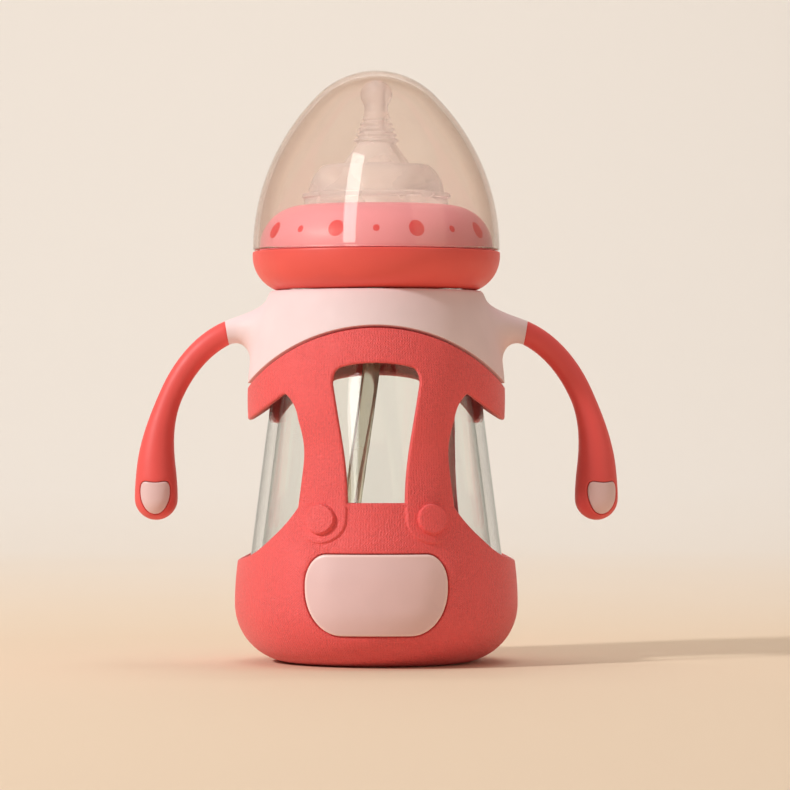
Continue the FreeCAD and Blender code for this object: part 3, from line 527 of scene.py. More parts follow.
def woven(name, colour, rough):
    """Silicone with a linen emboss: two sets of uneven threads, stronger in patches, with painted shade in
    the thread hollows and painted light on their crests.
    """
    pitch_round, pitch_up, radius, wander = 0.00085, 0.00075, 0.040, 2.4
    n = Nodes(name)
    angle, height = n.unrolled()
    shift = n.spread(n.noise(420, detail=3, rough=0.6), -wander, wander)
    around = n.math("MULTIPLY", angle, radius * 2 * math.pi / pitch_round)
    upright = n.math("SINE", n.math("ADD", around, shift))
    along = n.math("MULTIPLY", height, 2 * math.pi / pitch_up)
    level = n.math("SINE", n.math("ADD", along, n.math("MULTIPLY", shift, 1.3)))
    cross = n.math("MULTIPLY", upright, level)
    threads = n.math("ADD", n.math("MULTIPLY", cross, 0.6), n.math("MULTIPLY", upright, 0.35))
    patches = n.span(n.noise(75, detail=3, rough=0.6), 0.38, 0.6, 0.55, 1.0)
    uneven = n.spread(n.noise(1500, detail=2, rough=0.6), -0.8, 0.8)
    relief = n.math("MULTIPLY", n.math("ADD", threads, uneven), patches)
    # Painted shade and light: the colour darkens in the emboss's hollows and pales on its crests
    light = n.span(relief, -1.0, 1.0, NOISE_LOW, NOISE_HIGH)
    return n.surface({
        "Base Color": n.tones(light, shade(colour, 0.86), shade(colour, 1.14)),
        "Roughness": n.span(relief, -1.0, 1.0, rough * 1.1, rough * 0.9),
        "Normal": n.bump(relief, strength=0.65, distance=0.00016),
        "Subsurface Weight": 0.12, "Subsurface Radius": (0.6, 0.2, 0.15), "Subsurface Scale": 0.003,
        "Sheen Weight": 0.12, "Sheen Roughness": 0.5,
    })


def dotted(name, colour, print_colour):
    """Satin plastic with a printed ring of dots, large and small in turn."""
    count, level, radius, soft = 9, 0.1285, 0.035, 0.0001
    n = Nodes(name)
    angle, height = n.unrolled()
    step = 2 * math.pi / count
    up = n.math("SUBTRACT", height, level)
    marks = None
    for size, turn in ((0.0024, 0.5), (0.0010, 0.0)):
        local = n.math("WRAP", n.math("ADD", angle, step * turn), step / 2)
        local.node.inputs[2].default_value = -step / 2
        across = n.math("MULTIPLY", local, radius)
        square = n.math("ADD", n.math("MULTIPLY", across, across), n.math("MULTIPLY", up, up))
        dot = n.span(n.math("SQRT", square), size - soft, size + soft, 1.0, 0.0)
        marks = dot if marks is None else n.math("MAXIMUM", marks, dot)
    drift = n.tones(n.noise(40, detail=3), shade(colour, 0.95), colour)
    return n.surface({
        "Base Color": n.mix(marks, drift, print_colour),
        "Roughness": n.spread(n.noise(300, detail=3), 0.4, 0.5),
        "Normal": n.bump(n.noise(1800), strength=0.1, distance=0.00005),
    })


def clear(name, tint, rim, edge, rough, ior, haze=(1, 1, 1), milky=0.0, wave=0.04):
    """Clear glass, plastic or silicone that lets lamps through, partly milky, turning to its rim colour
    where a wall is seen edge-on, as painted dark edges.
    """
    n = Nodes(name)
    facing = n.add("LayerWeight", {"Blend": 0.5}).outputs["Facing"]
    gloss = n.noise(200, detail=2)
    body = n.add("BsdfPrincipled", {
        # Painted dark edges: the tint turns to the rim colour towards a grazing view
        "Base Color": n.ramp(facing, [(edge[0], tint), (edge[1], rim)]),
        "Roughness": n.spread(gloss, rough * 0.8, rough * 1.2 + 0.005),
        "IOR": ior, "Transmission Weight": 1.0,
        "Normal": n.bump(n.noise(45, detail=1), strength=wave, distance=0.0002),
    }).outputs["BSDF"]
    if milky:
        cloudy = n.spread(n.noise(90, detail=3), milky * 0.85, milky * 1.15)
        milk = n.add("BsdfTranslucent", {"Color": (*haze, 1)}).outputs[0]
        face = n.add("BsdfDiffuse", {"Color": (*haze, 1)}).outputs[0]
        both = n.add("MixShader", {0: 0.5, 1: milk, 2: face}).outputs[0]
        body = n.add("MixShader", {0: cloudy, 1: body, 2: both}).outputs[0]
    open_way = n.add("BsdfTransparent", {"Color": (*((1 + c) / 2 for c in tint), 1)})
    shadow = n.add("LightPath").outputs["Is Shadow Ray"]
    lit = n.add("MixShader", {0: shadow, 1: body, 2: open_way.outputs[0]})
    return n.done(lit.outputs[0])


def brushed(name, colour):
    """Brushed steel: fine level scratches in its gloss."""
    n = Nodes(name)
    stretched = n.add("Mapping", {"Vector": n.place(), "Scale": (60, 60, 4000)}).outputs[0]
    scratch = n.noise(1.0, detail=3, rough=0.6, vector=stretched)
    return n.surface({
        "Base Color": n.tones(scratch, shade(colour, 0.85), colour),
        "Metallic": 1.0, "Roughness": n.spread(scratch, 0.22, 0.38),
        "Normal": n.bump(scratch, strength=0.1, distance=0.00005),
    })


sleeve_look = woven("coral_silicone_weave", (0.88, 0.11, 0.11), rough=0.52)
grip_look = moulded("coral_grip", (0.84, 0.098, 0.09), rough=0.5, sheen=0.05)
band_look = moulded("coral_band", (0.85, 0.105, 0.085), rough=0.45)
yoke_look = moulded("pale_plastic", (0.86, 0.69, 0.7), rough=0.62)
# The patch's rim colour is a painted highlight along its rounded edge
patch_look = moulded(
    "pale_silicone", (0.81, 0.565, 0.56), rough=0.32, sheen=0.3, rim=(0.97, 0.73, 0.69),
)
collar_look = dotted("pink_plastic", (0.93, 0.36, 0.43), print_colour=(0.8, 0.035, 0.05))
# Rim colours: painted dark edges where the clear walls are seen edge-on, on the amber cap partly its own
# deeper tint
cap_look = clear(
    "clear_plastic", tint=(0.945, 0.905, 0.855), rim=(0.34, 0.23, 0.15), edge=(0.5, 0.93), rough=0.02,
    ior=1.49, haze=(1.0, 0.6, 0.48), milky=0.06, wave=0.02,
)
teat_look = clear(
    "clear_silicone", tint=(0.99, 0.97, 0.96), rim=(0.45, 0.36, 0.34), edge=(0.7, 0.97), rough=0.1,
    ior=1.41, haze=(1.0, 0.95, 0.95), milky=0.26,
)
hose_look = clear(
    "hose_silicone", tint=(0.97, 0.96, 0.84), rim=(0.36, 0.38, 0.22), edge=(0.5, 0.95), rough=0.15,
    ior=1.41, haze=(0.88, 0.87, 0.64), milky=0.26,
)
glass_look = clear(
    "clear_glass", tint=(0.97, 0.99, 0.975), rim=(0.02, 0.045, 0.035), edge=(0.62, 0.86), rough=0.005,
    ior=1.47,
)
white_look = moulded("white_plastic", (0.84, 0.82, 0.78), rough=0.45, variation=0.03)
steel_look = brushed("steel", (0.72, 0.72, 0.7))


def none(u, v):
    return 0.0


# Turned pieces
def make_cap():
    rim, wall, side, height, low, lip = 37.0, 1.5, 65.9, 54.0, 123.1, 0.5
    nose = (side ** 2 - (rim - side) ** 2 - height ** 2) / (2 * (side - height))
    turn = math.degrees(math.atan2(height - nose, side - rim))
    centre = low + height - nose
    start = math.degrees(lip / side)
    outer = arc(rim - side, low, side, start, turn, 60) + arc(0, centre, nose, turn, 90, 36)[1:]
    inner = arc(0, centre, nose - wall, 90, turn, 36)
    inner += arc(rim - side, low, side - wall, turn, start, 60)[1:]
    rim_arc = arc(rim - wall / 2, low + wall / 2, wall / 2, 180, 360, 10)[1:-1]
    bm = lathe([(r, z) for r, z, _ in outer + inner + rim_arc], segments=160)
    return piece("cap_dome", bm, "cap", ["dust_cap"], cap_look)


def make_band():
    low, high, rim, inner, lip, flank, foot_r = 111.3, 122.8, 37.1, 31.7, 2.1, 10.3, 30.0
    lean = rim - foot_r
    bend = (lean ** 2 + flank ** 2) / (2 * lean)
    foot = math.degrees(math.asin(flank / bend))
    bm = lathe(rounded([
        (BORE_R, low, 0.3), *arc(rim - bend, low + flank, bend, -foot, 0, 24), (rim, high, 0.6),
        (inner, high, 0.3), (inner, low + lip, 0.2), (BORE_R, low + lip, 0.3),
    ]), segments=144)
    piece("band_ring", bm, "collar", ["collar_band"], band_look)


def make_collar():
    low, step, top, wall, bend = 113.5, 123.0, 136.5, 1.8, 12.9
    skirt, rim, mouth = 31.6, 35.0, 22.0
    centre_r, centre_z = rim - bend, top - bend
    inner = bend - wall
    reach = math.degrees(math.acos((BORE_R - centre_r) / inner))
    bm = lathe(rounded([
        (BORE_R, low, 0.3), (skirt, low, 0.3), (skirt, step, 0), (rim, step, 0.2),
        *arc(centre_r, centre_z, bend, 0, 88, 24), (mouth, top, 0.7), (mouth, top - wall, 0.4),
        *arc(centre_r, centre_z, inner, 88, reach, 12),
    ]), segments=144)
    helix(bm, BORE_R, crest_r=27.4, start_z=114.9)
    piece("collar_ring", bm, "collar", ["screw_collar"], collar_look)


def make_teat():
    lip_r, flange_z, lip_z, breast_z, cone_z, top = 21.6, 131.9, 140.1, 148.1, 155.1, 174.7
    flange_r, rim_r, bulb, neck, bore, hole = 26.0, 22.3, 4.8, 3.6, 2.1, 0.6
    rib_count, rib_rise, rib_r, rib_taper = 5, 1.62, 6.7, 0.62
    ribs = []
    for i in range(rib_count):
        base = cone_z + 0.7 + i * rib_rise
        outer = rib_r - rib_taper * i
        ribs += [(outer - 0.85, base - 0.45, 0.25), (outer, base, 0.3), (outer, base + 0.5, 0.3)]
    swell = math.degrees(math.acos(neck / bulb))
    outside = [
        (lip_r - 1.8, flange_z, 0.2), (flange_r, flange_z, 0.4), (flange_r, flange_z + 1.7, 0.5),
        (lip_r, 134.4, 0.3), (lip_r, lip_z - 1.6, 0.5), (rim_r, lip_z - 1.2, 0.5), (rim_r, lip_z, 0.5),
        (20.6, lip_z + 0.3, 0.3), *arc(9.2, 139.7, 11.2, 4, 52, 16), (12.2, breast_z + 0.35, 0.8),
        (10.4, breast_z + 0.5, 0.7), (5.9, cone_z - 0.3, 0.5), *ribs, (neck, 164.3, 1.0),
        *arc(0, top - bulb, bulb, -swell, 82, 26), (hole, top - 0.1, 0),
    ]
    inside = [
        (hole, top - 1.8, 0.2), (bore, top - 2.4, 0.8), (bore, cone_z + 3.0, 1.5),
        (8.4, breast_z - 1.0, 1.2), (12.6, breast_z - 1.8, 1.5), (lip_r - 1.8, lip_z - 1.6, 2.0),
    ]
    bm = lathe(rounded(outside + inside), segments=128)
    return piece("teat", bm, "head", ["nipple"], teat_look, sharp=60)


def make_glass():
    floor, wall, base, inner_corner = 2.9, 3.0, 5.0, 10.0
    foot, belly, shoulder_r, shoulder_z = 18.0, 39.5, 30.43, 88.0
    neck, neck_z, rim = 27.0, 97.5, 130.2
    flange, flange_low, flange_high = 30.6, 104.5, 107.1
    corner = BELLY_Z - floor
    inner_floor = floor + base

    def shoulder(inset):
        """The S from the cone to the neck, as a smooth line."""
        poles = [
            (shoulder_r - inset, shoulder_z), (shoulder_r - inset - 0.4, shoulder_z + 3.2),
            (neck - inset + 0.2, neck_z - 3.0), (neck - inset, neck_z),
        ]
        return [(r, z, 0) for r, z in bspline(poles, 14)]

    profile = rounded([
        (0.0, floor + 1.2, 0), (foot, floor, 4.0), *arc(belly - corner, BELLY_Z, corner, -88, 0, 24),
        *shoulder(0), (neck, flange_low, 0.8), (flange, flange_low, 1.0), (flange, flange_high, 1.0),
        (neck, flange_high, 0.6), (neck, rim, 1.2), (neck - wall, rim, 1.2), *shoulder(wall)[::-1],
        *arc(belly - wall - inner_corner, inner_floor + inner_corner, inner_corner, 0, -88, 18),
        (0.0, inner_floor + 0.6, 0),
    ])
    bm = lathe(profile, segments=160)
    helix(bm, neck, crest_r=28.7, start_z=117.4)
    return piece("glass_bottle", bm, "bottle", ["bottle_glass"], glass_look)


# Sleeve
FRONT_LID = [(1.0, 0.848), (0.999, 0.952), (0.753, 0.976), (0.307, 1.0)]
FRONT_SIDE = [(1.0, 0.848), (0.93, 0.724), (0.788, 0.434), (0.674, 0.204), (0.648, 0.0)]
SIDE_BROW = [(0.727, 0.977), (0.826, 1.0145), (0.832, 1.0095), (0.9505, 0.9385), (0.964, 0.853)]
SIDE_STRAP = [(0.964, 0.853), (1.029, 0.716), (1.002, 0.546), (0.975, 0.416), (0.966, 0.334)]
SIDE_BASE = [(0.966, 0.334), (0.871, 0.2365), (0.694, 0.133), (0.5235, 0.045), (0.182, 0.0)]
# Half angle, top and height of the front and back windows
FRONT = (19.6, 89.2, 40.7)
BACK = (25.5, 86.2, 40.4)
SIDE_REACH, SIDE_SILL, SIDE_RISE, SIDE_TIP = 55.0, 30.7, 49.0, 0.851
WINDOW_STEP = 0.7


def mirrored(poles, middle):
    return [(2 * middle - a, z) for a, z in poles]


def unrolled(points):
    return [(math.radians(a) * UNROLL_R, z) for a, z in points]


def tall_window(middle, half, high, tall):
    def placed(poles):
        return [(middle + half * a, high - tall * (1 - h)) for a, h in poles]

    lid, edge = placed(FRONT_LID), placed(FRONT_SIDE)
    top = bspline(lid + mirrored(lid, middle)[::-1], 60)
    left = bspline(mirrored(edge, middle), 48)
    right = bspline(edge[::-1], 48)
    return resampled(unrolled(top[:-1] + left + right[:-1]), WINDOW_STEP)


def side_window(middle):
    def placed(poles):
        return [(middle - SIDE_REACH * a, SIDE_SILL + SIDE_RISE * h) for a, h in poles]

    def half_turn(poles):
        return mirrored(poles, middle)[::-1]

    brow, strap, base = placed(SIDE_BROW), placed(SIDE_STRAP), placed(SIDE_BASE)
    tip = SIDE_SILL + SIDE_RISE * SIDE_TIP
    third = (middle - brow[0][0]) / 3
    dip = tip - (brow[0][1] - tip) / 3
    lid = [half_turn(brow)[-1], (middle + third, dip), (middle - third, dip), brow[0]]
    line = []
    for poles, count in (
        (strap, 48), (base + half_turn(base), 90), (half_turn(strap), 48),
        (half_turn(brow), 30), (lid, 60), (brow, 30),
    ):
        line += bspline(poles, count)[:-1]
    return resampled(unrolled(line), WINDOW_STEP)


def patch_outline(grow):
    """The patch's outline seen from the front, grown or drawn in."""
    points = []
    for start in (0, 90, 180, 270):
        wide, tall = PATCH_TOP_ROUND if start < 180 else PATCH_LOW_ROUND
        x = (PATCH_HALF - wide) * (1 if start in (0, 270) else -1)
        z = PATCH_HIGH - tall if start < 180 else PATCH_LOW + tall
        points += ellipse(x, z, wide, tall, start, start + 90, 24)
    return grown(resampled(points, step=0.6), grow)


patch_away = signed_distance(patch_outline(0.0))


def patch_distance(u, v):
    """How far outside the patch's outline a place lies, seen from the front."""
    p = on_body(u, v, 0.0) / MM
    return patch_away(p.x, p.z)


def sleeve_relief(u, v):
    """Height of the strap ends, buttons and patch pocket over the sleeve's form."""
    if abs(u) > FRONT_REACH:
        return 0.0
    if v < PATCH_HIGH + 2:
        away = patch_distance(u, v)
        return -POCKET_DEPTH * fall(-0.14, 0.1, away) - POCKET_SINK * fall(0.1, 0.5, away)
    du = abs(u) - math.radians(BUTTON_ANGLE) * UNROLL_R
    dv = v - BUTTON_Z
    away = math.hypot(du, dv)
    outside = math.hypot(du, dv * TONGUE_R / TONGUE_DROP) - TONGUE_R if dv < 0 else -du - TONGUE_R
    turn = abs(math.degrees(math.atan2(-dv, -du)))
    tongue = fall(-0.35, 0.25, outside) * fall(80, 150, turn) * fall(50, 66, v)
    button = fall(BUTTON_R - 0.2, BUTTON_R + 0.12, away)
    top = BUTTON_RISE + BUTTON_DOME * (1 - (away / BUTTON_R) ** 2)
    return TONGUE_RISE * tongue * (1 - button) + top * button


def sleeve_features():
    """Places on the sheet along the pocket's edge, the buttons and the strap ends."""
    spacing = 0.55
    points = []
    for grow in (-0.6, -0.3, -0.14, -0.02, 0.1, 0.28, 0.5):
        points += [body_uv(x, z) for x, z in patch_outline(grow)]
    for side in (-1, 1):
        cu = side * math.radians(BUTTON_ANGLE) * UNROLL_R
        for inset in (3.5, 2.6, 1.7, 1.0, 0.5, 0.22, 0.14, 0.06, -0.02, -0.12, -0.3, -0.6):
            radius = BUTTON_R - inset
            count = max(8, round(2 * math.pi * radius / spacing))
            points += ellipse(cu, BUTTON_Z, radius, radius, 0, 360, count)[:-1]
        for grow in (-0.8, -0.4, -0.2, 0.0, 0.2, 0.5):
            radius = TONGUE_R + grow
            points += ellipse(cu, BUTTON_Z, side * radius, TONGUE_DROP + grow, 180, 320, 55)
            points += [(cu - side * radius, BUTTON_Z + spacing * i) for i in range(1, 7)]
    return points


def make_sleeve():
    bm = bmesh.new()
    bevel, brim, support, middle_r, foot_rows = SLEEVE_EDGE, ARCH_EDGE, 0.5, 4.0, 8
    low = body_v(SLEEVE_LOW_Z)
    us = once_round(math.radians(SLEEVE_SEAM) * UNROLL_R, 2 * math.pi * UNROLL_R, columns=240)

    def arch(inset):
        return [(u, arch_v(u, ARCH_R - ARCH_GAP / 2 - inset)) for u in us]

    def below_arch(u, v):
        return v < arch_v(u, ARCH_R - ARCH_GAP / 2 - brim) - support

    border = framed([(u, low) for u in us], arch(brim), step=1.3)
    windows = [tall_window(0, *FRONT), tall_window(-180, *BACK), side_window(90), side_window(-90)]
    features = sleeve_features()
    for window in windows:
        features += grown(window, bevel + support)
    features += [(u, v - support) for u, v in arch(brim)[1:-1]]
    holes = [grown(window, bevel) for window in windows]
    sheet(bm, on_body, border, holes, features, step=1.5, lift=sleeve_relief, inside=below_arch)
    holes = [grown(window, INNER_EDGE) for window in windows]
    sheet(bm, on_body, border, holes, [], step=3.0, lift=lambda u, v: -SLEEVE_WALL, inside=below_arch)
    for window in windows:
        def edge(inset, line=window):
            return grown(line, inset)

        rows = edge_rows(edge, bevel, SLEEVE_WALL, sleeve_relief, INNER_EDGE)
        strip(bm, on_body, rows, True)
    rows = edge_rows(arch, brim, SLEEVE_WALL, none, tuck=ARCH_GAP + ARCH_LIP)
    strip(bm, on_body, rows, False)
    foot = BELLY_Z - CORNER_R * math.pi / 2
    down = [foot + (low - foot) * k / foot_rows for k in range(foot_rows, -1, -1)]
    for lift in (0, -SLEEVE_WALL):
        grid(bm, [[on_body(u, v, lift) for u in us] for v in down], False)
    recess = (
        (FOOT_R, 0), (RECESS_R + 0.5, 0), (RECESS_R + 0.15, 0.08), (RECESS_R, 0.3), (RECESS_R - 0.1, 0.7),
        (RECESS_R - 0.4, RECESS_Z), (middle_r, RECESS_Z),
    )
    floor = ((FOOT_R, SLEEVE_WALL), (middle_r, SLEEVE_WALL))
    for profile in (recess, floor):
        rows = [level(us, r, z) for r, z in profile]
        grid(bm, rows, False)
        fan(bm, rows[-1][:-1], Vector((0, 0, profile[-1][1])) * MM)
    piece("sleeve_body", bm, "bottle", ["sleeve"], sleeve_look)


def make_patch():
    bm = bmesh.new()
    bevel, proud, crown, crown_run = 0.8, 0.3, 0.35, 7.0
    # The painted edge highlight is full up to one width inside the outline and gone by the other
    highlight_full, highlight_end, margin = 0.35, 0.9, 0.4
    shape = patch_outline(-PATCH_GAP)

    def edge(inset):
        return [body_uv(x, z) for x, z in grown(shape, -inset)]

    def depth(u, v):
        return -patch_distance(u, v) - PATCH_GAP - bevel

    def pillow(u, v):
        return proud + crown * smoothstep(0.0, crown_run, depth(u, v))

    def within(u, v):
        return depth(u, v) > margin

    inner = edge(bevel)
    support = edge(bevel + 0.35) + edge(bevel + 0.8)
    sheet(bm, on_body, inner, [], support, step=1.2, lift=pillow, inside=within)
    sheet(bm, on_body, inner, [], [], step=3.0, lift=lambda u, v: -PATCH_WALL, inside=within)
    rows = edge_rows(edge, bevel, PATCH_WALL, lambda u, v: proud, bevel * 0.4)
    rows[0] = [(u, v, pillow(u, v)) for u, v in inner]
    rows[-1] = [(u, v, -PATCH_WALL) for u, v in inner]
    strip(bm, on_body, rows, True)
    # Painted highlight: marks a band just inside the patch's outline for its paler rim colour
    layer = bm.verts.layers.float.new(RIM_HIGHLIGHT_LAYER)
    for vert in bm.verts:
        inward = -patch_away(vert.co.x / MM, vert.co.z / MM) - PATCH_GAP
        vert[layer] = fall(highlight_full, highlight_end, inward)
    piece("patch_inlay", bm, "bottle", ["belly_patch"], patch_look)


# Yoke and arms
def arm_frame(angle, side):
    """Centre, way and upper normal of the arm's line at an angle of its ellipse."""
    a = math.radians(angle)
    centre = Vector((side * (ARM_X + ARM_SPAN * math.cos(a)), 0, ARM_Z + ARM_SWEEP * math.sin(a)))
    way = Vector((side * ARM_SPAN * math.sin(a), 0, -ARM_SWEEP * math.cos(a))).normalized()
    up = Vector((-way.z * side, 0, way.x * side))
    return centre - up * ARM_DRAW * math.sin(1.5 * a) ** 2, way, up


def make_yoke():
    bm = bmesh.new()
    bevel, wall, plate, brow, support = ARCH_EDGE, 2.4, 3.6, 0.8, 0.5
    # Arm roots: half width, rise, drop and height of their ovals, and the pull on their loft
    wide, rise, drop, root_z = 14.0, 8.6, 11.0, 100.3
    pull, side_pull, ease = 3.6, 2.4, 4.6
    around, loft = 72, 14
    turn = 2 * math.pi * UNROLL_R
    us = once_round(turn / 2, turn, columns=240)
    high = YOKE_Z - brow

    def arch(inset):
        return [(u, arch_v(u, ARCH_R + ARCH_GAP / 2 + inset)) for u in us]

    def border(top):
        return framed(arch(bevel), [(u, top) for u in us], step=1.5)

    def above_arch(u, v):
        return v > arch_v(u, ARCH_R + ARCH_GAP / 2 + bevel) + support

    holes = []
    features = [(u, v + support) for u, v in arch(bevel)[1:-1]] + [(u, high - 0.6) for u in us[1:-1]]
    for side in (-1, 1):
        middle = side * turn / 4

        def oval(scale, middle=middle, side=side):
            line = []
            for i in range(around):
                a = 2 * math.pi * i / around
                tall = rise if math.cos(a) > 0 else drop
                u = middle + side * wide * scale * math.sin(a)
                line.append((u, root_z + tall * scale * math.cos(a)))
            return line

        hole = oval(1.0)
        holes.append(hole)
        features += oval(1.05) + oval(1.12)
        centre, way, up = arm_frame(ARM_PARTING, side)
        rows = [[] for _ in range(loft + 1)]
        for i, (near, far) in enumerate(zip(hole, oval(1.02))):
            a = 2 * math.pi * i / around
            start = on_body(*near, 0.0) / MM
            away = (on_body(*far, 0.0) / MM - start).normalized()
            end = centre + (up * math.cos(a) + Vector((0, math.sin(a), 0))) * ARM_NECK_R
            end -= way * ARM_LEAN * math.cos(a)
            reach = pull + side_pull * abs(math.sin(a))
            poles = (start, start - away * reach, end - way * ease, end)
            for row, p in zip(rows, bspline(poles, loft)):
                row.append(Vector(p) * MM)
        grid(bm, rows, True)
        fan(bm, rows[-1], centre * MM)
    sheet(bm, on_body, border(high), holes, features, step=1.6, lift=none, inside=above_arch)
    sheet(bm, on_body, border(YOKE_Z - plate), [], [], step=4.0, lift=lambda u, v: -wall, inside=above_arch)
    strip(bm, on_body, edge_rows(arch, bevel, wall, none), False)
    rim = body_profile(high)[0]
    inner = on_body(0, YOKE_Z - plate, -wall) / MM
    top = [
        (rim, high), (rim - 0.42, YOKE_Z - 0.24), (rim - 0.75, YOKE_Z - 0.05), (rim - 1.1, YOKE_Z),
        (BORE_R + 0.4, YOKE_Z), (BORE_R + 0.1, YOKE_Z - 0.12), (BORE_R, YOKE_Z - 0.4),
        (BORE_R, YOKE_Z - plate - 0.4), (-inner.y, inner.z),
    ]
    grid(bm, [level(us, r, z) for r, z in top], False)
    piece("yoke_body", bm, "bottle", ["handle_yoke"], yoke_look)


# Half outline of a palm inlay from its top middle down: x and depth under its top
PALM_HALF = [
    (0.0, 0.25), (1.1, 0.22), (2.6, -0.05), (4.05, -0.1), (4.8, 1.25), (4.85, 3.6), (4.35, 6.4), (2.6, 9.5),
    (0.9, 10.15), (0.0, 10.15),
]
PALM_TOP_Z = 54.15
PALM_TURN = {-1: 1.0, 1: 18.0}
PALM_GAP, STEEPEST = 0.16, 0.98


class Arm:
    """One arm's surface: u round it from the front outwards, v along it from its parting line."""

    def __init__(self, side):
        self.side = side
        self.stations = []
        length = 0.0
        steps = 60
        for k in range(steps + 1):
            centre, _, up = arm_frame(ARM_PARTING * (1 - k / steps), side)
            if self.stations:
                length += (centre - self.stations[-1][1]).length
            self.stations.append((length, centre, up))
        self.bend_end = length
        self.wrist = length + ARM_Z - HAND_END_Z
        self.end = self.wrist + HAND_R * math.pi / 2

    def point(self, u, v, lift):
        angle = u / HAND_R
        out = Vector((self.side, 0, 0))
        v -= ARM_LEAN * math.sin(angle) * fall(0.0, LEAN_RUN, v)
        radius = HAND_R - (HAND_R - ARM_NECK_R) * smoothstep(0.0, HAND_SWELL, self.wrist - v)
        if v <= self.bend_end:
            k = 0
            while k < len(self.stations) - 2 and self.stations[k + 1][0] < v:
                k += 1
            a, b = self.stations[k], self.stations[k + 1]
            t = (v - a[0]) / (b[0] - a[0])
            centre = a[1].lerp(b[1], t)
            out = a[2].lerp(b[2], t).normalized()
        else:
            centre = Vector((self.side * (ARM_X + ARM_SPAN), 0, HAND_END_Z + self.wrist - v))
        if v > self.wrist:
            bend = (v - self.wrist) / HAND_R
            centre.z = HAND_END_Z - (HAND_R + lift) * math.sin(bend)
            radius = HAND_R * math.cos(bend) + lift * (math.cos(bend) - 1)
        ray = Vector((0, -1, 0)) * math.cos(angle) + out * math.sin(angle)
        return (centre + ray * (radius + lift)) * MM

    def palm(self, grow):
        """The palm's outline on this arm, grown or drawn in."""
        half = bspline(PALM_HALF, 40)
        line = [(x, PALM_TOP_Z - d) for x, d in half] + [(-x, PALM_TOP_Z - d) for x, d in half[-2:0:-1]]
        out = []
        for x, z in grown(resampled(line, step=0.3), grow):
            if z >= HAND_END_Z:
                v, radius = self.wrist - (z - HAND_END_Z), HAND_R
            else:
                bend = math.asin(min(STEEPEST, (HAND_END_Z - z) / HAND_R))
                v, radius = self.wrist + HAND_R * bend, HAND_R * math.cos(bend)
            angle = math.asin(max(-STEEPEST, min(STEEPEST, x / radius)))
            out.append((HAND_R * (angle + math.radians(PALM_TURN[self.side])), v))
        return out


def make_arm(side, word):
    arm = Arm(side)
    distance = signed_distance(arm.palm(0.0))
    turn = 2 * math.pi * HAND_R
    us = once_round(turn / 2, turn, columns=64)
    pocket, sink, reach, above = 0.9, 0.1, 12.0, 4.0
    tip_angle, tip_rows = 66, 6
    top, low = 0.35, arm.wrist + HAND_R * math.radians(tip_angle)
    border = framed([(u, top) for u in us], [(u, low) for u in us], step=1.0)

    def relief(u, v):
        if v < arm.bend_end - above or abs(u) > reach:
            return 0.0
        away = distance(u, v)
        return -pocket * fall(-0.1, 0.08, away) - sink * fall(0.08, 0.4, away)

    features = []
    for grow in (-0.35, -0.1, 0.0, 0.08, 0.22, 0.42):
        features += arm.palm(grow)
    bm = bmesh.new()
    sheet(bm, arm.point, border, [], features, step=0.9, lift=relief)
    ends = [low + (arm.end - low) * k / tip_rows for k in range(tip_rows)]
    grid(bm, [[arm.point(u, v, 0) for u in us] for v in ends], False)
    fan(bm, [arm.point(u, ends[-1], 0) for u in us[:-1]], arm.point(0, arm.end, 0))
    lip = [(top, 0.0), (0.12, -0.06), (0.02, -0.2), (0.0, -0.4)]
    grid(bm, [[arm.point(u, v, lift) for u in us] for v, lift in lip], False)
    fan(bm, [arm.point(u, *lip[-1]) for u in us[:-1]], arm_frame(ARM_PARTING, side)[0] * MM)
    piece(f"grip_body_{word}", bm, "bottle", [f"grip_{word}"], grip_look)

    bm = bmesh.new()
    bevel, wall, proud, crown, crown_run, margin = 0.45, 0.8, 0.02, 0.12, 2.5, 0.15

    def edge(inset):
        return arm.palm(-PALM_GAP - inset)

    inner = edge(bevel)
    outside = signed_distance(inner)

    def pillow(u, v):
        return proud + crown * smoothstep(0.0, crown_run, -outside(u, v))

    def within(u, v):
        return outside(u, v) < -margin

    sheet(bm, arm.point, inner, [], edge(bevel + 0.25), step=0.6, lift=pillow, inside=within)
    sheet(bm, arm.point, inner, [], [], step=1.2, lift=lambda u, v: -wall, inside=within)
    strip(bm, arm.point, edge_rows(edge, bevel, wall, lambda u, v: proud), True)
    piece(f"palm_inlay_{word}", bm, "bottle", [f"palm_{word}"], patch_look)


# Straw: the hose's route from its stub to the ball, as in the construction
HOSE_ROUTE = [
    (0.0, 127.0), (0.0, 111.966), (-0.704, 92.966), (-3.608, 71.981), (-6.6, 52.041), (-8.8, 33.98),
    (-8.8, 22.6),
]
HOSE_R = 2.6


def make_hose():
    curve = bpy.data.curves.new("hose", "CURVE")
    curve.dimensions = "3D"
    spline = curve.splines.new("NURBS")
    spline.points.add(len(HOSE_ROUTE) - 1)
    for point, (x, z) in zip(spline.points, HOSE_ROUTE):
        point.co = (x * MM, 0, z * MM, 1)
    spline.order_u = 3
    spline.use_endpoint_u = True
    spline.resolution_u = 16
    curve.bevel_depth = HOSE_R * MM
    curve.bevel_resolution = 8
    curve.use_fill_caps = True
    curve.materials.append(hose_look)
    hose = add_object("hose", curve)
    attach(hose, "straw")
    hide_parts("straw_hose")


cap = make_cap()
make_band()
make_collar()
teat = make_teat()
glass = make_glass()
make_sleeve()
make_patch()
make_yoke()
make_arm(-1, "left")
make_arm(1, "right")
make_hose()

for node, look in (
    ("straw_disc", white_look), ("vent_valve", teat_look), ("weight_upper_shell", white_look),
    ("weight_lower_shell", white_look), ("weight_ring", steel_look),
):
    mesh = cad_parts[node].data
    mesh.materials.clear()
    mesh.materials.append(look)


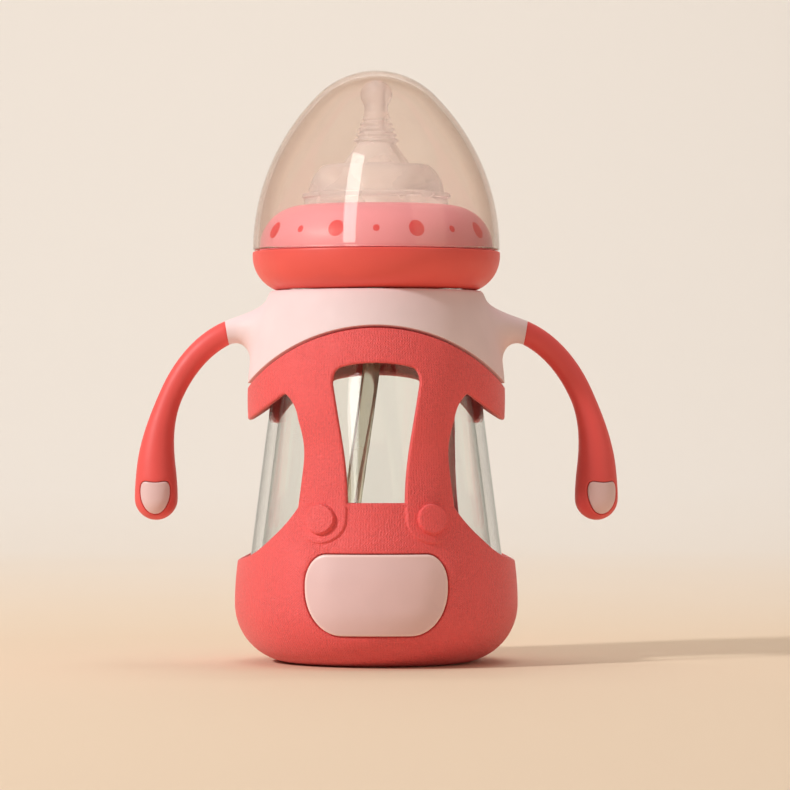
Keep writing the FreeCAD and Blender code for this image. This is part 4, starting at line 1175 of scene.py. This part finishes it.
def studio(name, near, far):
    """Matt studio sweep whose warm floor fades into a paler backdrop."""
    n = Nodes(name)
    depth = n.add("SeparateXYZ", {"Vector": n.place()}).outputs["Y"]
    blotch = n.spread(n.noise(3, detail=2), -0.05, 0.05)
    share = n.span(n.math("ADD", depth, blotch), 0.1, 1.1, 0.0, 1.0)
    return n.surface({"Base Color": n.ramp(share, [(0.0, near), (1.0, far)]), "Roughness": 0.75})


# Floor that sweeps up into a backdrop, in metres
FLOOR_HALF, FLOOR_FRONT, SWEEP_Y, SWEEP_R, WALL_TOP = 4.0, -3.0, 0.9, 0.8, 4.0
sweep = [(FLOOR_FRONT, 0.0), (SWEEP_Y, 0.0)]
for degrees in range(6, 91, 6):
    a = math.radians(degrees)
    sweep.append((SWEEP_Y + SWEEP_R * math.sin(a), SWEEP_R - SWEEP_R * math.cos(a)))
sweep.append((SWEEP_Y + SWEEP_R, WALL_TOP))
bm = bmesh.new()
grid(bm, [[Vector((x, y, z)) for x in (-FLOOR_HALF, FLOOR_HALF)] for y, z in sweep], False)
floor_look = studio("studio_floor", near=(0.77, 0.61, 0.45), far=(0.82, 0.77, 0.71))
floor = mesh_object("studio_floor", bm, floor_look)

# Light
world = bpy.data.worlds.new("studio")
world.use_nodes = True
background = world.node_tree.nodes["Background"]
background.inputs["Color"].default_value = (1.0, 0.89, 0.8, 1)
background.inputs["Strength"].default_value = 0.32
scene.world = world


def lamp(name, place, aim, width, height, power, colour):
    light = bpy.data.lights.new(name, "AREA")
    light.shape = "RECTANGLE"
    light.size = width
    light.size_y = height
    light.energy = power
    light.color = colour
    obj = add_object(name, light)
    obj.location = place
    obj.rotation_euler = (Vector(aim) - Vector(place)).to_track_quat("-Z", "Y").to_euler()
    return obj


# Lamps: place, aim, width, height, watts and colour
KEY = ((-1.35, -0.8, 1.05), (0, 0, 0.09), 0.16, 0.16, 22.5, (1.0, 0.995, 0.99))
key = lamp("key", *KEY)
key_through = lamp("key_through", *KEY)
strip_light = lamp("strip", (-0.43, -0.92, 0.66), (0, 0, 0.12), 0.24, 1.0, 3.8, (1.0, 0.98, 0.96))
top = lamp("top", (0.1, 0.1, 1.5), (0, 0, 0.1), 0.9, 0.9, 4, (1.0, 0.96, 0.92))
lamp("fill", (1.3, -1.0, 0.6), (0, 0, 0.09), 1.0, 1.0, 1.9, (1.0, 0.8, 0.66))
back = lamp("backdrop", (0, 0.7, 2.0), (0, 1.7, 0.5), 2.0, 0.5, 16, (1.0, 1.0, 1.0))
for soft in (key_through, top, back):
    soft.visible_glossy = False
    soft.visible_transmission = False
# The clear cap, teat and glass mirror the strip and not the key, all the rest takes the key alone
for light, state in ((key, "EXCLUDE"), (key_through, "INCLUDE"), (strip_light, "INCLUDE")):
    group = bpy.data.collections.new(f"{light.name}_pieces")
    for obj in (cap, teat, glass):
        group.objects.link(obj)
    for entry in group.collection_objects:
        entry.light_linking.link_state = state
    light.light_linking.receiver_collection = group

# Camera: level, on the bottle's axis plane
FRAME_PX, FOCAL_PX, SCALE = 790, 3900, 0.30
AXIS_PX, HORIZON_PX = 376.3, 408.0
SENSOR, EYE_Z = 36.0, 0.076
optics = bpy.data.cameras.new("camera")
optics.sensor_width = SENSOR
optics.lens = FOCAL_PX / FRAME_PX * SENSOR
optics.shift_x = (FRAME_PX / 2 - AXIS_PX) / FRAME_PX
optics.shift_y = (HORIZON_PX - FRAME_PX / 2) / FRAME_PX
camera = add_object("camera", optics)
camera.location = (0, -FOCAL_PX * SCALE * MM, EYE_Z)
camera.rotation_euler = (math.radians(90), 0, 0)
scene.camera = camera

scene.view_settings.view_transform = "Standard"
